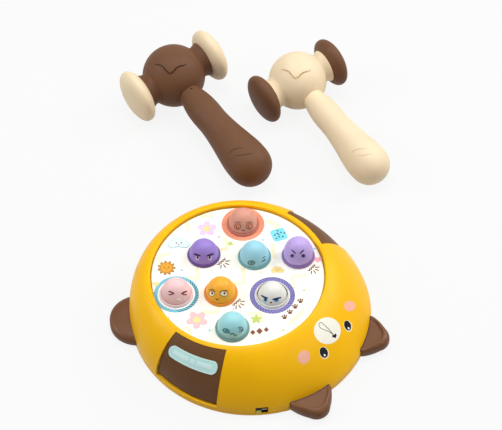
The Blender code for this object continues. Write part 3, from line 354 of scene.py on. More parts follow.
def turned_mesh(name, outline, steps):
    """Spin (radius, height) or (radius, height, shift) points round Z."""
    bm = bmesh.new()
    rows = []
    for point in outline:
        radius, height = point[0], point[1]
        shift = point[2] if len(point) > 2 else 0
        if radius == 0:
            rows.append([bm.verts.new((0, shift, height))])
        else:
            rows.append([bm.verts.new((radius * cos(2 * pi * i / steps),
                                       radius * sin(2 * pi * i / steps) + shift, height))
                         for i in range(steps)])
    closed = outline[0][0] > 0 or outline[-1][0] > 0
    for near, far in zip(rows, rows[1:] + rows[:1] if closed else rows[1:]):
        for i in range(steps):
            j = (i + 1) % steps
            corners = [near[i % len(near)], near[j % len(near)], far[j % len(far)], far[i % len(far)]]
            unique = list(dict.fromkeys(corners))
            if len(unique) > 2:
                bm.faces.new(unique)
    return to_mesh(name, bm)


def rounded_path(points, radius, steps=4):
    """Round the corners of an open outline of (radius, height) points with short arcs."""
    out = [points[0]]
    for before, corner, after in zip(points, points[1:], points[2:]):
        a, b, c = Vector(before[:2]), Vector(corner[:2]), Vector(after[:2])
        reach = min(radius, (a - b).length * 0.45, (c - b).length * 0.45)
        start, end = b + (a - b).normalized() * reach, b + (c - b).normalized() * reach
        for i in range(steps + 1):
            t = i / steps
            out.append(tuple(start * (1 - t) ** 2 + b * 2 * t * (1 - t) + end * t ** 2))
    return out + [points[-1]]


def smooth_curve(points, per_span=6):
    """A Catmull-Rom curve through flat points."""
    out = []
    padded = [points[0]] + list(points) + [points[-1]]
    for k in range(len(points) - 1):
        p0, p1, p2, p3 = [Vector(p) for p in padded[k:k + 4]]
        for i in range(per_span):
            t = i / per_span
            out.append(0.5 * ((2 * p1) + (p2 - p0) * t + (2 * p0 - 5 * p1 + 4 * p2 - p3) * t ** 2
                              + (3 * p1 - p0 - 3 * p2 + p3) * t ** 3))
    return out + [Vector(points[-1])]


def prism_mesh(name, outline, bottom, top):
    bm = bmesh.new()
    face = bm.faces.new([bm.verts.new((x, y, bottom)) for x, y in outline])
    raised_part = bmesh.ops.extrude_face_region(bm, geom=[face])
    moved = [item for item in raised_part["geom"] if isinstance(item, bmesh.types.BMVert)]
    bmesh.ops.translate(bm, vec=(0, 0, top - bottom), verts=moved)
    return to_mesh(name, bm)


def bar_mesh(name, points, radius, slimmer=0.65):
    """A round bar along points, slimmer at its ends, to be cut out of a surface or kept as a wire."""
    curve = bpy.data.curves.new(name, "CURVE")
    curve.dimensions = "3D"
    curve.bevel_depth = radius
    curve.bevel_resolution = 3
    curve.use_fill_caps = True
    spline = curve.splines.new("POLY")
    spline.points.add(len(points) - 1)
    for i, (target, point) in enumerate(zip(spline.points, points)):
        target.co = (*point, 1)
        target.radius = 1 - slimmer * abs(2 * i / (len(points) - 1) - 1) ** 3
    drawn = bpy.data.objects.new(name, curve)
    bpy.context.scene.collection.objects.link(drawn)
    bpy.context.view_layer.update()
    mesh = bpy.data.meshes.new_from_object(drawn.evaluated_get(bpy.context.evaluated_depsgraph_get()))
    bpy.data.objects.remove(drawn, do_unlink=True)
    form = bmesh.new()
    form.from_mesh(mesh)
    return to_mesh(name, form, 1e-6)


def box_mesh(name, near, far):
    middle = [(a + b) / 2 for a, b in zip(near, far)]
    size = [b - a for a, b in zip(near, far)]
    bm = bmesh.new()
    bmesh.ops.create_cube(bm, size=1, matrix=Matrix.Translation(middle) @ Matrix.Diagonal((*size, 1)))
    return to_mesh(name, bm)


def rod_mesh(name, radius, bottom, top, place=(0, 0), steps=48):
    outline = [(x * radius, y * radius) for x, y in ((cos(2 * pi * i / steps), sin(2 * pi * i / steps))
                                                     for i in range(steps))]
    return prism_mesh(name, [(x + place[0], y + place[1]) for x, y in outline], bottom, top)


def carve(target, steps):
    """Apply a list of (operation, mesh) to a piece, and leave one plain mesh behind."""
    cutters = []
    for operation, mesh in steps:
        cutter = bpy.data.objects.new("cutter", mesh)
        bpy.context.scene.collection.objects.link(cutter)
        cutter.matrix_world = target.matrix_world
        step = target.modifiers.new("step", "BOOLEAN")
        step.operation = operation
        step.solver = "EXACT"
        step.object = cutter
        cutters.append(cutter)
    bpy.context.view_layer.update()
    ready = target.evaluated_get(bpy.context.evaluated_depsgraph_get())
    mesh = bpy.data.meshes.new_from_object(ready)
    target.modifiers.clear()
    target.data = mesh
    for cutter in cutters:
        bpy.data.objects.remove(cutter, do_unlink=True)
    mesh.shade_smooth()
    mesh.set_sharp_from_angle(angle=SHARP)


def soften(target, width, segments=2, angle=40):
    step = target.modifiers.new("edge", "BEVEL")
    step.width = width
    step.segments = segments
    step.limit_method = "ANGLE"
    step.angle_limit = radians(angle)
    step.harden_normals = True


print("shape tools ready")

# %% [markdown]
# ## The base's surface
#
# The base is a low round shell that swells out to an upright band at the table. Its side is one
# curve, a quarter of a superellipse, from the band up to the crest of the rim. A place on it runs
# from -1 on the table through 0 at the top of the band to 1 on the crest, and a depth goes in from
# the face. Everything that lies on the shell, such as the patches and the face, is placed with it.

# %% The base's surface
BASE_RADIUS = 0.1262
BAND_HEIGHT = 0.0100
RIM_HEIGHT = 0.0584
PANEL_RADIUS = 0.0900
PANEL_SHIFT = 0.0167
SHOULDER_POWER = 1.53
GAP = 0.0003
BORE_RADIUS = PANEL_RADIUS + GAP
RIM_ROUND = 0.0017
RIM_RADIUS = BORE_RADIUS + RIM_ROUND
WALL = 0.0030
SEAM_HEIGHT = 0.0040
PRINT_DEPTH = 0.0036
SHEET_THICKNESS = 0.0004
PANEL_THICKNESS = 0.0024
LEDGE_THICKNESS = 0.0022
SHEET_TOP = RIM_HEIGHT - PRINT_DEPTH
LEDGE_WIDTH = 0.0050
LEDGE_TOP = SHEET_TOP - SHEET_THICKNESS - GAP - PANEL_THICKNESS - GAP


def shoulder(place):
    turn = place * pi / 2
    power = 2 / SHOULDER_POWER
    radius = RIM_RADIUS + (BASE_RADIUS - RIM_RADIUS) * max(cos(turn), 0) ** power
    return radius, BAND_HEIGHT + (RIM_HEIGHT - BAND_HEIGHT) * max(sin(turn), 0) ** power


def body_point(place, depth=0.0):
    """Radius, height and shift of the side, a depth below its face."""
    if place <= 0:
        return BASE_RADIUS - depth, BAND_HEIGHT * (1 + place), 0.0
    radius, height = shoulder(place)
    below, above = shoulder(max(place - 0.01, 0)), shoulder(min(place + 0.01, 1))
    along = (above[0] - below[0], above[1] - below[1])
    length = hypot(*along)
    shift = PANEL_SHIFT * (height - BAND_HEIGHT) / (RIM_HEIGHT - BAND_HEIGHT)
    return radius - depth * along[1] / length, height + depth * along[0] / length, shift


def body_at(place, depth, angle):
    """The point of the side that is seen from the upright middle axis at an angle."""
    radius, height, shift = body_point(place, depth)
    out = shift * sin(angle) + sqrt(radius ** 2 - (shift * cos(angle)) ** 2)
    return Vector((out * cos(angle), out * sin(angle), height))


def band_place(height):
    return height / BAND_HEIGHT - 1


print("radius half way up the side in mm:", round(1000 * shoulder(0.5)[0], 1))

# %% [markdown]
# ## Upper shell
#
# On the real toy the two side patches lie in shallow pockets, deepest at their lower edge. A Boolean
# would leave long thin faces in the smooth side, which show as creases. So the shell is woven as a
# grid whose lines run along the borders of the pockets: cells inside a pocket use a second, deeper
# set of corners, and a wall joins the two sets wherever a cell of each kind meet.

# %% Side patches: where they are
PATCH_TURN = radians(3.5)
PATCH_HALF_TURN = radians(17)
PATCH_LOW = band_place(0.0080)
PATCH_HIGH = 0.886
PATCH_SINK_TOP = 0.0006
PATCH_SINK_BOTTOM = 0.0030
PATCH_THICKNESS = 0.0016


def patch_middle(side):
    return -PATCH_TURN if side > 0 else pi + PATCH_TURN


def patch_sink(place):
    part = (place - PATCH_LOW) / (PATCH_HIGH - PATCH_LOW)
    return PATCH_SINK_BOTTOM + (PATCH_SINK_TOP - PATCH_SINK_BOTTOM) * min(max(part, 0), 1)


def stretch(first, last, count):
    return [first + (last - first) * i / count for i in range(count)]


# %% Weave the upper shell
right_low, right_high = -PATCH_TURN - PATCH_HALF_TURN, -PATCH_TURN + PATCH_HALF_TURN
left_low, left_high = pi + PATCH_TURN - PATCH_HALF_TURN, pi + PATCH_TURN + PATCH_HALF_TURN
PATCH_COLUMNS = 20
BACK_COLUMNS = 84
FRONT_COLUMNS = 76
LEFT_START = PATCH_COLUMNS + BACK_COLUMNS
turns = (stretch(right_low, right_high, PATCH_COLUMNS) + stretch(right_high, left_low, BACK_COLUMNS)
         + stretch(left_low, left_high, PATCH_COLUMNS)
         + stretch(left_high, right_low + 2 * pi, FRONT_COLUMNS))
places = (stretch(band_place(SEAM_HEIGHT + GAP), PATCH_LOW, 3) + stretch(PATCH_LOW, 0.0, 3)
          + stretch(0.0, PATCH_HIGH, 34) + stretch(PATCH_HIGH, 1.0, 6) + [1.0])
low_row = places.index(PATCH_LOW)
high_row = next(i for i, place in enumerate(places) if abs(place - PATCH_HIGH) < 1e-9)


def in_pocket(row, column):
    """Whether the cell above and after this corner lies in a side pocket."""
    on_patch = column < PATCH_COLUMNS or LEFT_START <= column < LEFT_START + PATCH_COLUMNS
    return low_row <= row < high_row and on_patch


shell_form = bmesh.new()
corners = {}


def shell_corner(row, column, deep):
    key = (row, column % len(turns), deep)
    if key not in corners:
        place = places[row]
        depth = patch_sink(place) + PATCH_THICKNESS + GAP if deep else 0.0
        corners[key] = shell_form.verts.new(body_at(place, depth, turns[key[1]]))
    return corners[key]


for row in range(len(places) - 1):
    for column in range(len(turns)):
        deep = in_pocket(row, column)
        shell_form.faces.new([shell_corner(row, column, deep), shell_corner(row, column + 1, deep),
                              shell_corner(row + 1, column + 1, deep), shell_corner(row + 1, column, deep)])
for row in range(1, len(places) - 1):
    for column in range(len(turns)):
        if in_pocket(row, column) != in_pocket(row - 1, column):
            shell_form.faces.new([shell_corner(row, column, False), shell_corner(row, column + 1, False),
                                  shell_corner(row, column + 1, True), shell_corner(row, column, True)])
        if in_pocket(row, column) != in_pocket(row, column - 1):
            shell_form.faces.new([shell_corner(row, column, False), shell_corner(row + 1, column, False),
                                  shell_corner(row + 1, column, True), shell_corner(row, column, True)])
print("woven cells:", len(shell_form.faces))


# %% Close the shell over the rim and inside
def add_ring(form, radius, height, shift):
    """One more row of corners, each at the same turn round the upright axis as the grid's."""
    ring = []
    for angle in turns:
        out = shift * sin(angle) + sqrt(radius ** 2 - (shift * cos(angle)) ** 2)
        ring.append(form.verts.new((out * cos(angle), out * sin(angle), height)))
    return ring


rings = [[shell_corner(len(places) - 1, column, False) for column in range(len(turns))]]
for i in range(1, 6):
    bend = i / 5 * pi / 2
    rings.append(add_ring(shell_form, RIM_RADIUS - RIM_ROUND * sin(bend),
                          RIM_HEIGHT - RIM_ROUND * (1 - cos(bend)), PANEL_SHIFT))
rings.append(add_ring(shell_form, BORE_RADIUS, LEDGE_TOP, PANEL_SHIFT))
rings.append(add_ring(shell_form, BORE_RADIUS - LEDGE_WIDTH, LEDGE_TOP, PANEL_SHIFT))
rings.append(add_ring(shell_form, BORE_RADIUS - LEDGE_WIDTH, LEDGE_TOP - LEDGE_THICKNESS, PANEL_SHIFT))
PATCH_BACKING = 0.0020
TONGUE_TOP = 0.0056
THICK_WALL_BOTTOM = 0.0062
inner_depth = PATCH_SINK_BOTTOM + PATCH_THICKNESS + GAP + PATCH_BACKING
for place in (0.66, 0.5, 0.35, 0.2, 0.1, 0.0):
    rings.append(add_ring(shell_form, *body_point(place, inner_depth)))
rings.append(add_ring(shell_form, BASE_RADIUS - inner_depth, THICK_WALL_BOTTOM, 0.0))
rings.append(add_ring(shell_form, BASE_RADIUS - WALL, TONGUE_TOP, 0.0))
rings.append(add_ring(shell_form, BASE_RADIUS - WALL, SEAM_HEIGHT + GAP, 0.0))
rings.append([shell_corner(0, column, False) for column in range(len(turns))])
for near, far in zip(rings, rings[1:]):
    join_rows(shell_form, near, far)
upper_shell = keep("shell_upper", to_mesh("shell_upper", shell_form), shell_finish)
print("upper shell faces:", len(upper_shell.data.polygons))

# %% [markdown]
# ## Power switch
#
# A slot in the band beside the left ear holds a small pale knob on a black bed. The slot is cut
# straight through the woven shell. Behind it a black case is carved by two wells, so that what is
# left between them stands as a hood over the knob, and a grey rail runs beside it. The knob gets ribs.

# %% Slot for the power switch
SWITCH_TURN = radians(-138.6)
SLOT_WIDTH = 0.0126
SLOT_BOTTOM = 0.0048
SLOT_TOP = 0.0128
SLOT_BACK = 0.112
SLOT_FRONT = 0.131


def face_out(outline, angle):
    return [(out * cos(angle) - side * sin(angle), out * sin(angle) + side * cos(angle))
            for out, side in outline]


def oblong(out_near, out_far, side_near, side_far):
    return [(out_near, side_near), (out_far, side_near), (out_far, side_far), (out_near, side_far)]


slot_edge = oblong(SLOT_BACK, SLOT_FRONT, -SLOT_WIDTH / 2, SLOT_WIDTH / 2)
slot = prism_mesh("slot", face_out(slot_edge, SWITCH_TURN), SLOT_BOTTOM, SLOT_TOP)
carve(upper_shell, [("DIFFERENCE", slot)])
soften(upper_shell, 0.00035, 2, 50)
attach(upper_shell, "base")
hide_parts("upper_shell")

# %% A black case behind the slot, with a grey rail
def switch_block(name, near, far, side_near, side_far, bottom, top):
    return prism_mesh(name, face_out(oblong(near, far, side_near, side_far), SWITCH_TURN), bottom, top)


CASE_BACK = 0.1140
CASE_FRONT = 0.1258
CASE_WALL = 0.0002
CASE_FLOOR = 0.0006
WELL_BACK = 0.1196
WELL_FRONT = 0.1300
RAIL_BACK = 0.1200
RAIL_FRONT = 0.1256
RAIL_TOP = 0.0110
KNOB_WIDTH = 0.0050
KNOB_BACK = 0.1206
KNOB_STANDS = 0.0006
KNOB_RAISE = 0.0008
KNOB_BOTTOM = SLOT_BOTTOM + KNOB_RAISE
KNOB_TOP = 0.0089
RIB_SPACING = 0.3
RIB_STANDS = 0.0012
RIB_HALF = 0.0004
RIB_INSET = 0.0006
SIDE_PLAY = 0.0002
HOOD_PLAY = 0.0003
inner = SLOT_WIDTH / 2 - GAP
wall = inner - CASE_WALL
knob_side = KNOB_WIDTH / 2 - wall + SIDE_PLAY
hood_side = knob_side + KNOB_WIDTH / 2 + HOOD_PLAY
case = keep("switch_case", switch_block("switch_case", CASE_BACK, CASE_FRONT, -inner, inner,
                                        SLOT_BOTTOM + GAP, SLOT_TOP - GAP), black_finish)
carve(case, [("DIFFERENCE", switch_block("well", WELL_BACK, WELL_FRONT, -wall, wall,
                                         SLOT_BOTTOM + CASE_FLOOR, KNOB_TOP + HOOD_PLAY)),
             ("DIFFERENCE", switch_block("well", WELL_BACK, WELL_FRONT, hood_side, wall, KNOB_TOP,
                                         SLOT_TOP - CASE_FLOOR))])
soften(case, 0.0001, 1)
rail = keep("switch_rail", switch_block("switch_rail", RAIL_BACK, RAIL_FRONT, hood_side + SIDE_PLAY,
                                        wall - SIDE_PLAY, KNOB_TOP + HOOD_PLAY, RAIL_TOP), rail_finish)
soften(rail, 0.0002, 2)
for piece in (case, rail):
    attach(piece, "base")
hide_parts("power_switch_case")

# %% Knob with finger ribs
knob = keep("knob", switch_block("knob", KNOB_BACK, BASE_RADIUS + KNOB_STANDS, knob_side - KNOB_WIDTH / 2,
                                 knob_side + KNOB_WIDTH / 2, KNOB_BOTTOM, KNOB_TOP), knob_finish)
ribs = []
for i in range(3):
    middle = knob_side + (i - 1) * KNOB_WIDTH * RIB_SPACING
    ribs.append(("UNION", switch_block("rib", BASE_RADIUS, BASE_RADIUS + RIB_STANDS, middle - RIB_HALF,
                                       middle + RIB_HALF, KNOB_BOTTOM + RIB_INSET, KNOB_TOP - RIB_INSET)))
carve(knob, ribs)
soften(knob, 0.00018, 2)
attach(knob, "power_knob_body")
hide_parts("power_knob")
print("knob ribs:", len(ribs))

# %% [markdown]
# ## Side patches and the label
#
# Each patch is a brown plate that follows the side of the shell. It is drawn as a block between two
# turns and two places, in fine steps, with its edges softened. The left one carries a pale capsule:
# a thin plate with a raised rim and three plain bars.


# %% Plates that follow the side
def side_plate(name, turn_low, turn_high, place_low, place_high, outer, inner, columns=24, rows=30):
    form = bmesh.new()
    grids = []
    for depth in (outer, inner):
        grid = []
        for i in range(columns + 1):
            angle = turn_low + (turn_high - turn_low) * i / columns
            grid.append([form.verts.new(body_at(place_low + (place_high - place_low) * j / rows,
                                                depth(place_low + (place_high - place_low) * j / rows),
                                                angle)) for j in range(rows + 1)])
        grids.append(grid)
    front, rear = grids
    for i in range(columns):
        for j in range(rows):
            form.faces.new([front[i][j], front[i + 1][j], front[i + 1][j + 1], front[i][j + 1]])
            form.faces.new([rear[i][j], rear[i][j + 1], rear[i + 1][j + 1], rear[i + 1][j]])
    edge = [(i, 0) for i in range(columns)] + [(columns, j) for j in range(rows)]
    edge += [(i, rows) for i in range(columns, 0, -1)] + [(0, j) for j in range(rows, 0, -1)]
    for (i, j), (k, m) in zip(edge, edge[1:] + edge[:1]):
        form.faces.new([front[i][j], front[k][m], rear[k][m], rear[i][j]])
    return to_mesh(name, form)


SIDE_LENGTH = 0.06
for side, name in ((-1, "left"), (1, "right")):
    spare = GAP / RIM_RADIUS
    middle = patch_middle(side)
    plate = keep("patch_" + name, side_plate(
        "patch_" + name, middle - PATCH_HALF_TURN + spare, middle + PATCH_HALF_TURN - spare,
        PATCH_LOW + GAP / BAND_HEIGHT, PATCH_HIGH - GAP / SIDE_LENGTH, patch_sink,
        lambda place: patch_sink(place) + PATCH_THICKNESS), trim_finish)
    soften(plate, 0.0003, 2, 50)
    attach(plate, "base")
    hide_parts("side_patch_" + name)
print("patches: 2")

# %% Label capsule
LABEL_PLACE = 0.578
LABEL_HALF_TURN = radians(14.4)
LABEL_HALF_WIDTH = 0.0055
LABEL_OUT = 0.108
SHOULDER_SPAN = hypot(BASE_RADIUS - RIM_RADIUS, RIM_HEIGHT - BAND_HEIGHT)


def label_mesh(name, inset, bottom, top, columns=64, rows=8):
    """A capsule that follows the patch, drawn in by an inset, between two heights above it."""
    form = bmesh.new()
    middle = patch_middle(-1)
    half_turn = LABEL_HALF_TURN - inset / LABEL_OUT
    half_width = LABEL_HALF_WIDTH - inset
    fronts, rears = [], []
    for i in range(columns + 1):
        turn = -cos(pi * i / columns) * half_turn
        inside = min((half_turn - abs(turn)) * LABEL_OUT / half_width, 1)
        half = half_width * max(sqrt(1 - (1 - inside) ** 2), 0.02) / SHOULDER_SPAN
        column_front, column_rear = [], []
        for j in range(rows + 1):
            place = LABEL_PLACE + half * (2 * j / rows - 1)
            column_front.append(form.verts.new(body_at(place, patch_sink(place) - top, middle + turn)))
            column_rear.append(form.verts.new(body_at(place, patch_sink(place) - bottom, middle + turn)))
        fronts.append(column_front)
        rears.append(column_rear)
    for i in range(columns):
        for j in range(rows):
            form.faces.new([fronts[i][j], fronts[i + 1][j], fronts[i + 1][j + 1], fronts[i][j + 1]])
            form.faces.new([rears[i][j], rears[i][j + 1], rears[i + 1][j + 1], rears[i + 1][j]])
        for j in (0, rows):
            form.faces.new([fronts[i][j], fronts[i + 1][j], rears[i + 1][j], rears[i][j]])
    for i in (0, columns):
        for j in range(rows):
            form.faces.new([fronts[i][j], fronts[i][j + 1], rears[i][j + 1], rears[i][j]])
    return to_mesh(name, form)


LABEL_PLATE = (0.0, GAP, 0.0007)
LABEL_RIM = (0.0001, 0.0004, 0.00086)
LABEL_WELL = (0.0010, 0.0002, 0.0020)
LABEL_BARS = ((-0.80, -0.16), (-0.08, 0.10), (0.18, 0.80))
BAR_BELOW = 0.0015
BAR_ABOVE = 0.0017
BAR_TOP = 0.00095
BAR_BOTTOM = 0.0005
label = keep("label", label_mesh("label", *LABEL_PLATE), label_finish)
soften(label, 0.00025, 2, 50)
label_rim = keep("label_rim", label_mesh("label_rim", *LABEL_RIM), label_pale_finish)
carve(label_rim, [("DIFFERENCE", label_mesh("label_well", *LABEL_WELL))])
soften(label_rim, 0.00012, 2, 50)
label_bars = []
for i, (first, last) in enumerate(LABEL_BARS):
    bar = keep("label_bar_%d" % (i + 1), side_plate(
        "label_bar", patch_middle(-1) + first * LABEL_HALF_TURN, patch_middle(-1) + last * LABEL_HALF_TURN,
        LABEL_PLACE - BAR_BELOW / SHOULDER_SPAN, LABEL_PLACE + BAR_ABOVE / SHOULDER_SPAN,
        lambda place: patch_sink(place) - BAR_TOP, lambda place: patch_sink(place) - BAR_BOTTOM, 16, 4),
        label_bar_finish)
    soften(bar, 0.00015, 2, 50)
    label_bars.append(bar)
for piece in (label, label_rim, *label_bars):
    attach(piece, "base")
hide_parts("label_plate")
print("label ready")

# %% [markdown]
# ## Ears and feet
#
# These are soft, swollen pads that stand out of the band. Each is a loft between two outlines: the
# widest line of the pad, and a smaller one that its top draws in to. A list says, step by step, how far
# in and how high. For the foot the steps follow a full quarter round, so it looks like a small pillow.
# For the ear they climb to a rim and then dip into a shallow dish.

# %% Puffed pads
EAR_TURN = radians(22.64)
EAR_LEAN = radians(-2.20)
EAR_REACH = {"left": 0.0243, "right": 0.0229}
EAR_HALF_WIDTH = 0.0238
EAR_TIP_RADIUS = 0.0140
EAR_BULGE = 0.0010
EAR_DISH = 0.0132
EAR_RIM_RISE = 0.0090
DISH_SHORTER = 0.0082
DISH_SLIMMER = 0.0058
DISH_TIP = 0.85
FOOT_TURN = radians(43.38)
FOOT_REACH = {"left": 0.0221, "right": 0.0205}
FOOT_HALF_WIDTH = 0.0305
FOOT_ROOT = 0.0119
FOOT_POWER = 2.183
FOOT_CREST = (0.0030, 0.0090)
PAD_INNER = BASE_RADIUS - 0.0060


def even_points(outline, count):
    """Walk along an open outline in even steps."""
    lengths = [0.0]
    for a, b in zip(outline, outline[1:]):
        lengths.append(lengths[-1] + (Vector(b) - Vector(a)).length)
    out = []
    for i in range(count):
        want = lengths[-1] * i / (count - 1)
        k = max(j for j in range(len(lengths) - 1) if lengths[j] <= want + 1e-12)
        part = (want - lengths[k]) / max(lengths[k + 1] - lengths[k], 1e-12)
        out.append(Vector(outline[k]).lerp(Vector(outline[k + 1]), min(part, 1)))
    return out


def oval_point(turn, power):
    """Shares across and along of a point of an oval; a power above 2 makes it fuller."""
    across, along = cos(turn), sin(turn)
    return copysign(abs(across) ** (2 / power), across), copysign(abs(along) ** (2 / power), along)


def ear_curve(reach, half_width, tip_radius):
    """Sides from the root that bulge a little, tangent to a round tip."""
    middle = BASE_RADIUS + reach - tip_radius
    away = (BASE_RADIUS - middle, half_width)
    lean = atan2(away[1], away[0]) - acos(tip_radius / hypot(*away))
    arc = [Vector((middle + tip_radius * cos(lean * t / 16), tip_radius * sin(lean * t / 16)))
           for t in range(-16, 17)]
    root = Vector((BASE_RADIUS, -half_width))
    outward = (arc[0] - root).orthogonal().normalized() * -EAR_BULGE
    side = [root.lerp(arc[0], i / 12) + outward * sin(pi * i / 12) for i in range(12)]
    other = [Vector((point.x, -point.y)) for point in reversed(side)]
    return [(PAD_INNER, -half_width)] + [tuple(p) for p in side + arc + other] + [(PAD_INNER, half_width)]


def foot_curve(reach, half_width):
    root = BASE_RADIUS - FOOT_ROOT
    out = []
    for i in range(61):
        across, along = oval_point(pi * i / 60, FOOT_POWER)
        out.append((root + (reach + FOOT_ROOT) * along, -half_width * across))
    return [point for point in out if point[0] > PAD_INNER - 0.001]


def puffed(name, widest, drawn_in, profile, angle, count=96):
    """Loft between two outlines by steps of (share of the way in, height), and close both ends."""
    outer, inner = even_points(widest, count), even_points(drawn_in, count)
    form = bmesh.new()
    rows = []
    for share, height in profile:
        row = []
        for a, b in zip(outer, inner):
            x, y = face_out([tuple(a.lerp(b, share))], angle)[0]
            row.append(form.verts.new((x, y, height)))
        rows.append(row)
    for near, far in zip(rows, rows[1:]):
        join_rows(form, near, far)
    form.faces.new(rows[0])
    form.faces.new(rows[-1])
    return to_mesh(name, form)


# %% How the pads swell
foot_profile = [
    (0.30, 0.0026), (0.14, 0.0030), (0.04, 0.0042), (0.0, 0.0062), (0.0, 0.0084), (0.0, 0.0105),
    (0.012, 0.0115), (0.035, 0.0125), (0.070, 0.0134), (0.12, 0.0142), (0.19, 0.0150), (0.27, 0.0156),
    (0.37, 0.0160), (0.50, 0.0163), (0.70, 0.0165), (1.0, 0.0165)]
ear_profile = [
    (0.36, 0.0026), (0.16, 0.0030), (0.05, 0.0040), (0.0, 0.0056), (0.0, 0.0072), (0.01, 0.0085),
    (0.035, 0.0098), (0.08, 0.0110), (0.14, 0.0121), (0.22, 0.0131), (0.32, 0.0139), (0.44, 0.0145),
    (0.57, 0.0149), (0.70, 0.0152), (0.80, 0.0153), (0.87, 0.0153), (0.90, 0.0151), (0.92, 0.0146),
    (0.94, 0.0139), (0.96, 0.0135), (1.02, 0.0133), (1.20, 0.0132), (1.5, 0.0132)]
for side, name in ((-1, "left"), (1, "right")):
    ear = keep("ear_pad_" + name, puffed(
        "ear_pad_" + name, ear_curve(EAR_REACH[name], EAR_HALF_WIDTH, EAR_TIP_RADIUS),
        ear_curve(EAR_REACH[name] - DISH_SHORTER, EAR_HALF_WIDTH - DISH_SLIMMER, EAR_TIP_RADIUS * DISH_TIP),
        ear_profile, -pi / 2 + side * EAR_TURN + EAR_LEAN), pad_finish)
    for corner in ear.data.vertices:
        if corner.co.z > EAR_DISH:
            out = (hypot(corner.co.x, corner.co.y) - BASE_RADIUS) / EAR_RIM_RISE
            corner.co.z = EAR_DISH + (corner.co.z - EAR_DISH) * min(max(out, 0.15), 1)
    foot = keep("foot_pad_" + name, puffed(
        "foot_pad_" + name, foot_curve(FOOT_REACH[name], FOOT_HALF_WIDTH), foot_curve(*FOOT_CREST),
        foot_profile, pi / 2 - side * FOOT_TURN), pad_finish)
    for piece, node in ((ear, "ear_" + name), (foot, "foot_" + name)):
        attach(piece, "base")
        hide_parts(node)
print("ear reaches in mm:", round(1000 * (BASE_RADIUS + EAR_REACH["left"]), 1))

# %% [markdown]
# ## Prints as thin films
#
# Pad printing lays a thin film of ink on a curved surface. Drawn as geometry it stays crisp from any
# side. A print is a set of flat drawings, in millimetres across and up, each a filled form or a stroke,
# and a carrying function that lays a drawing point on the surface. Where films overlap, a later one
# lies a few hundredths of a millimetre higher, which is thicker than real ink but keeps them apart.

# %% Film tools
MM = 0.001
FILM = 0.00005
LAYER_STEP = 0.6


def heart(u, v, size, count=36):
    return [(u + size * sin(t) ** 3,
             v + size * (0.81 * cos(t) - 0.31 * cos(2 * t) - 0.12 * cos(3 * t) - 0.06 * cos(4 * t)))
            for t in [2 * pi * i / count for i in range(count)]]


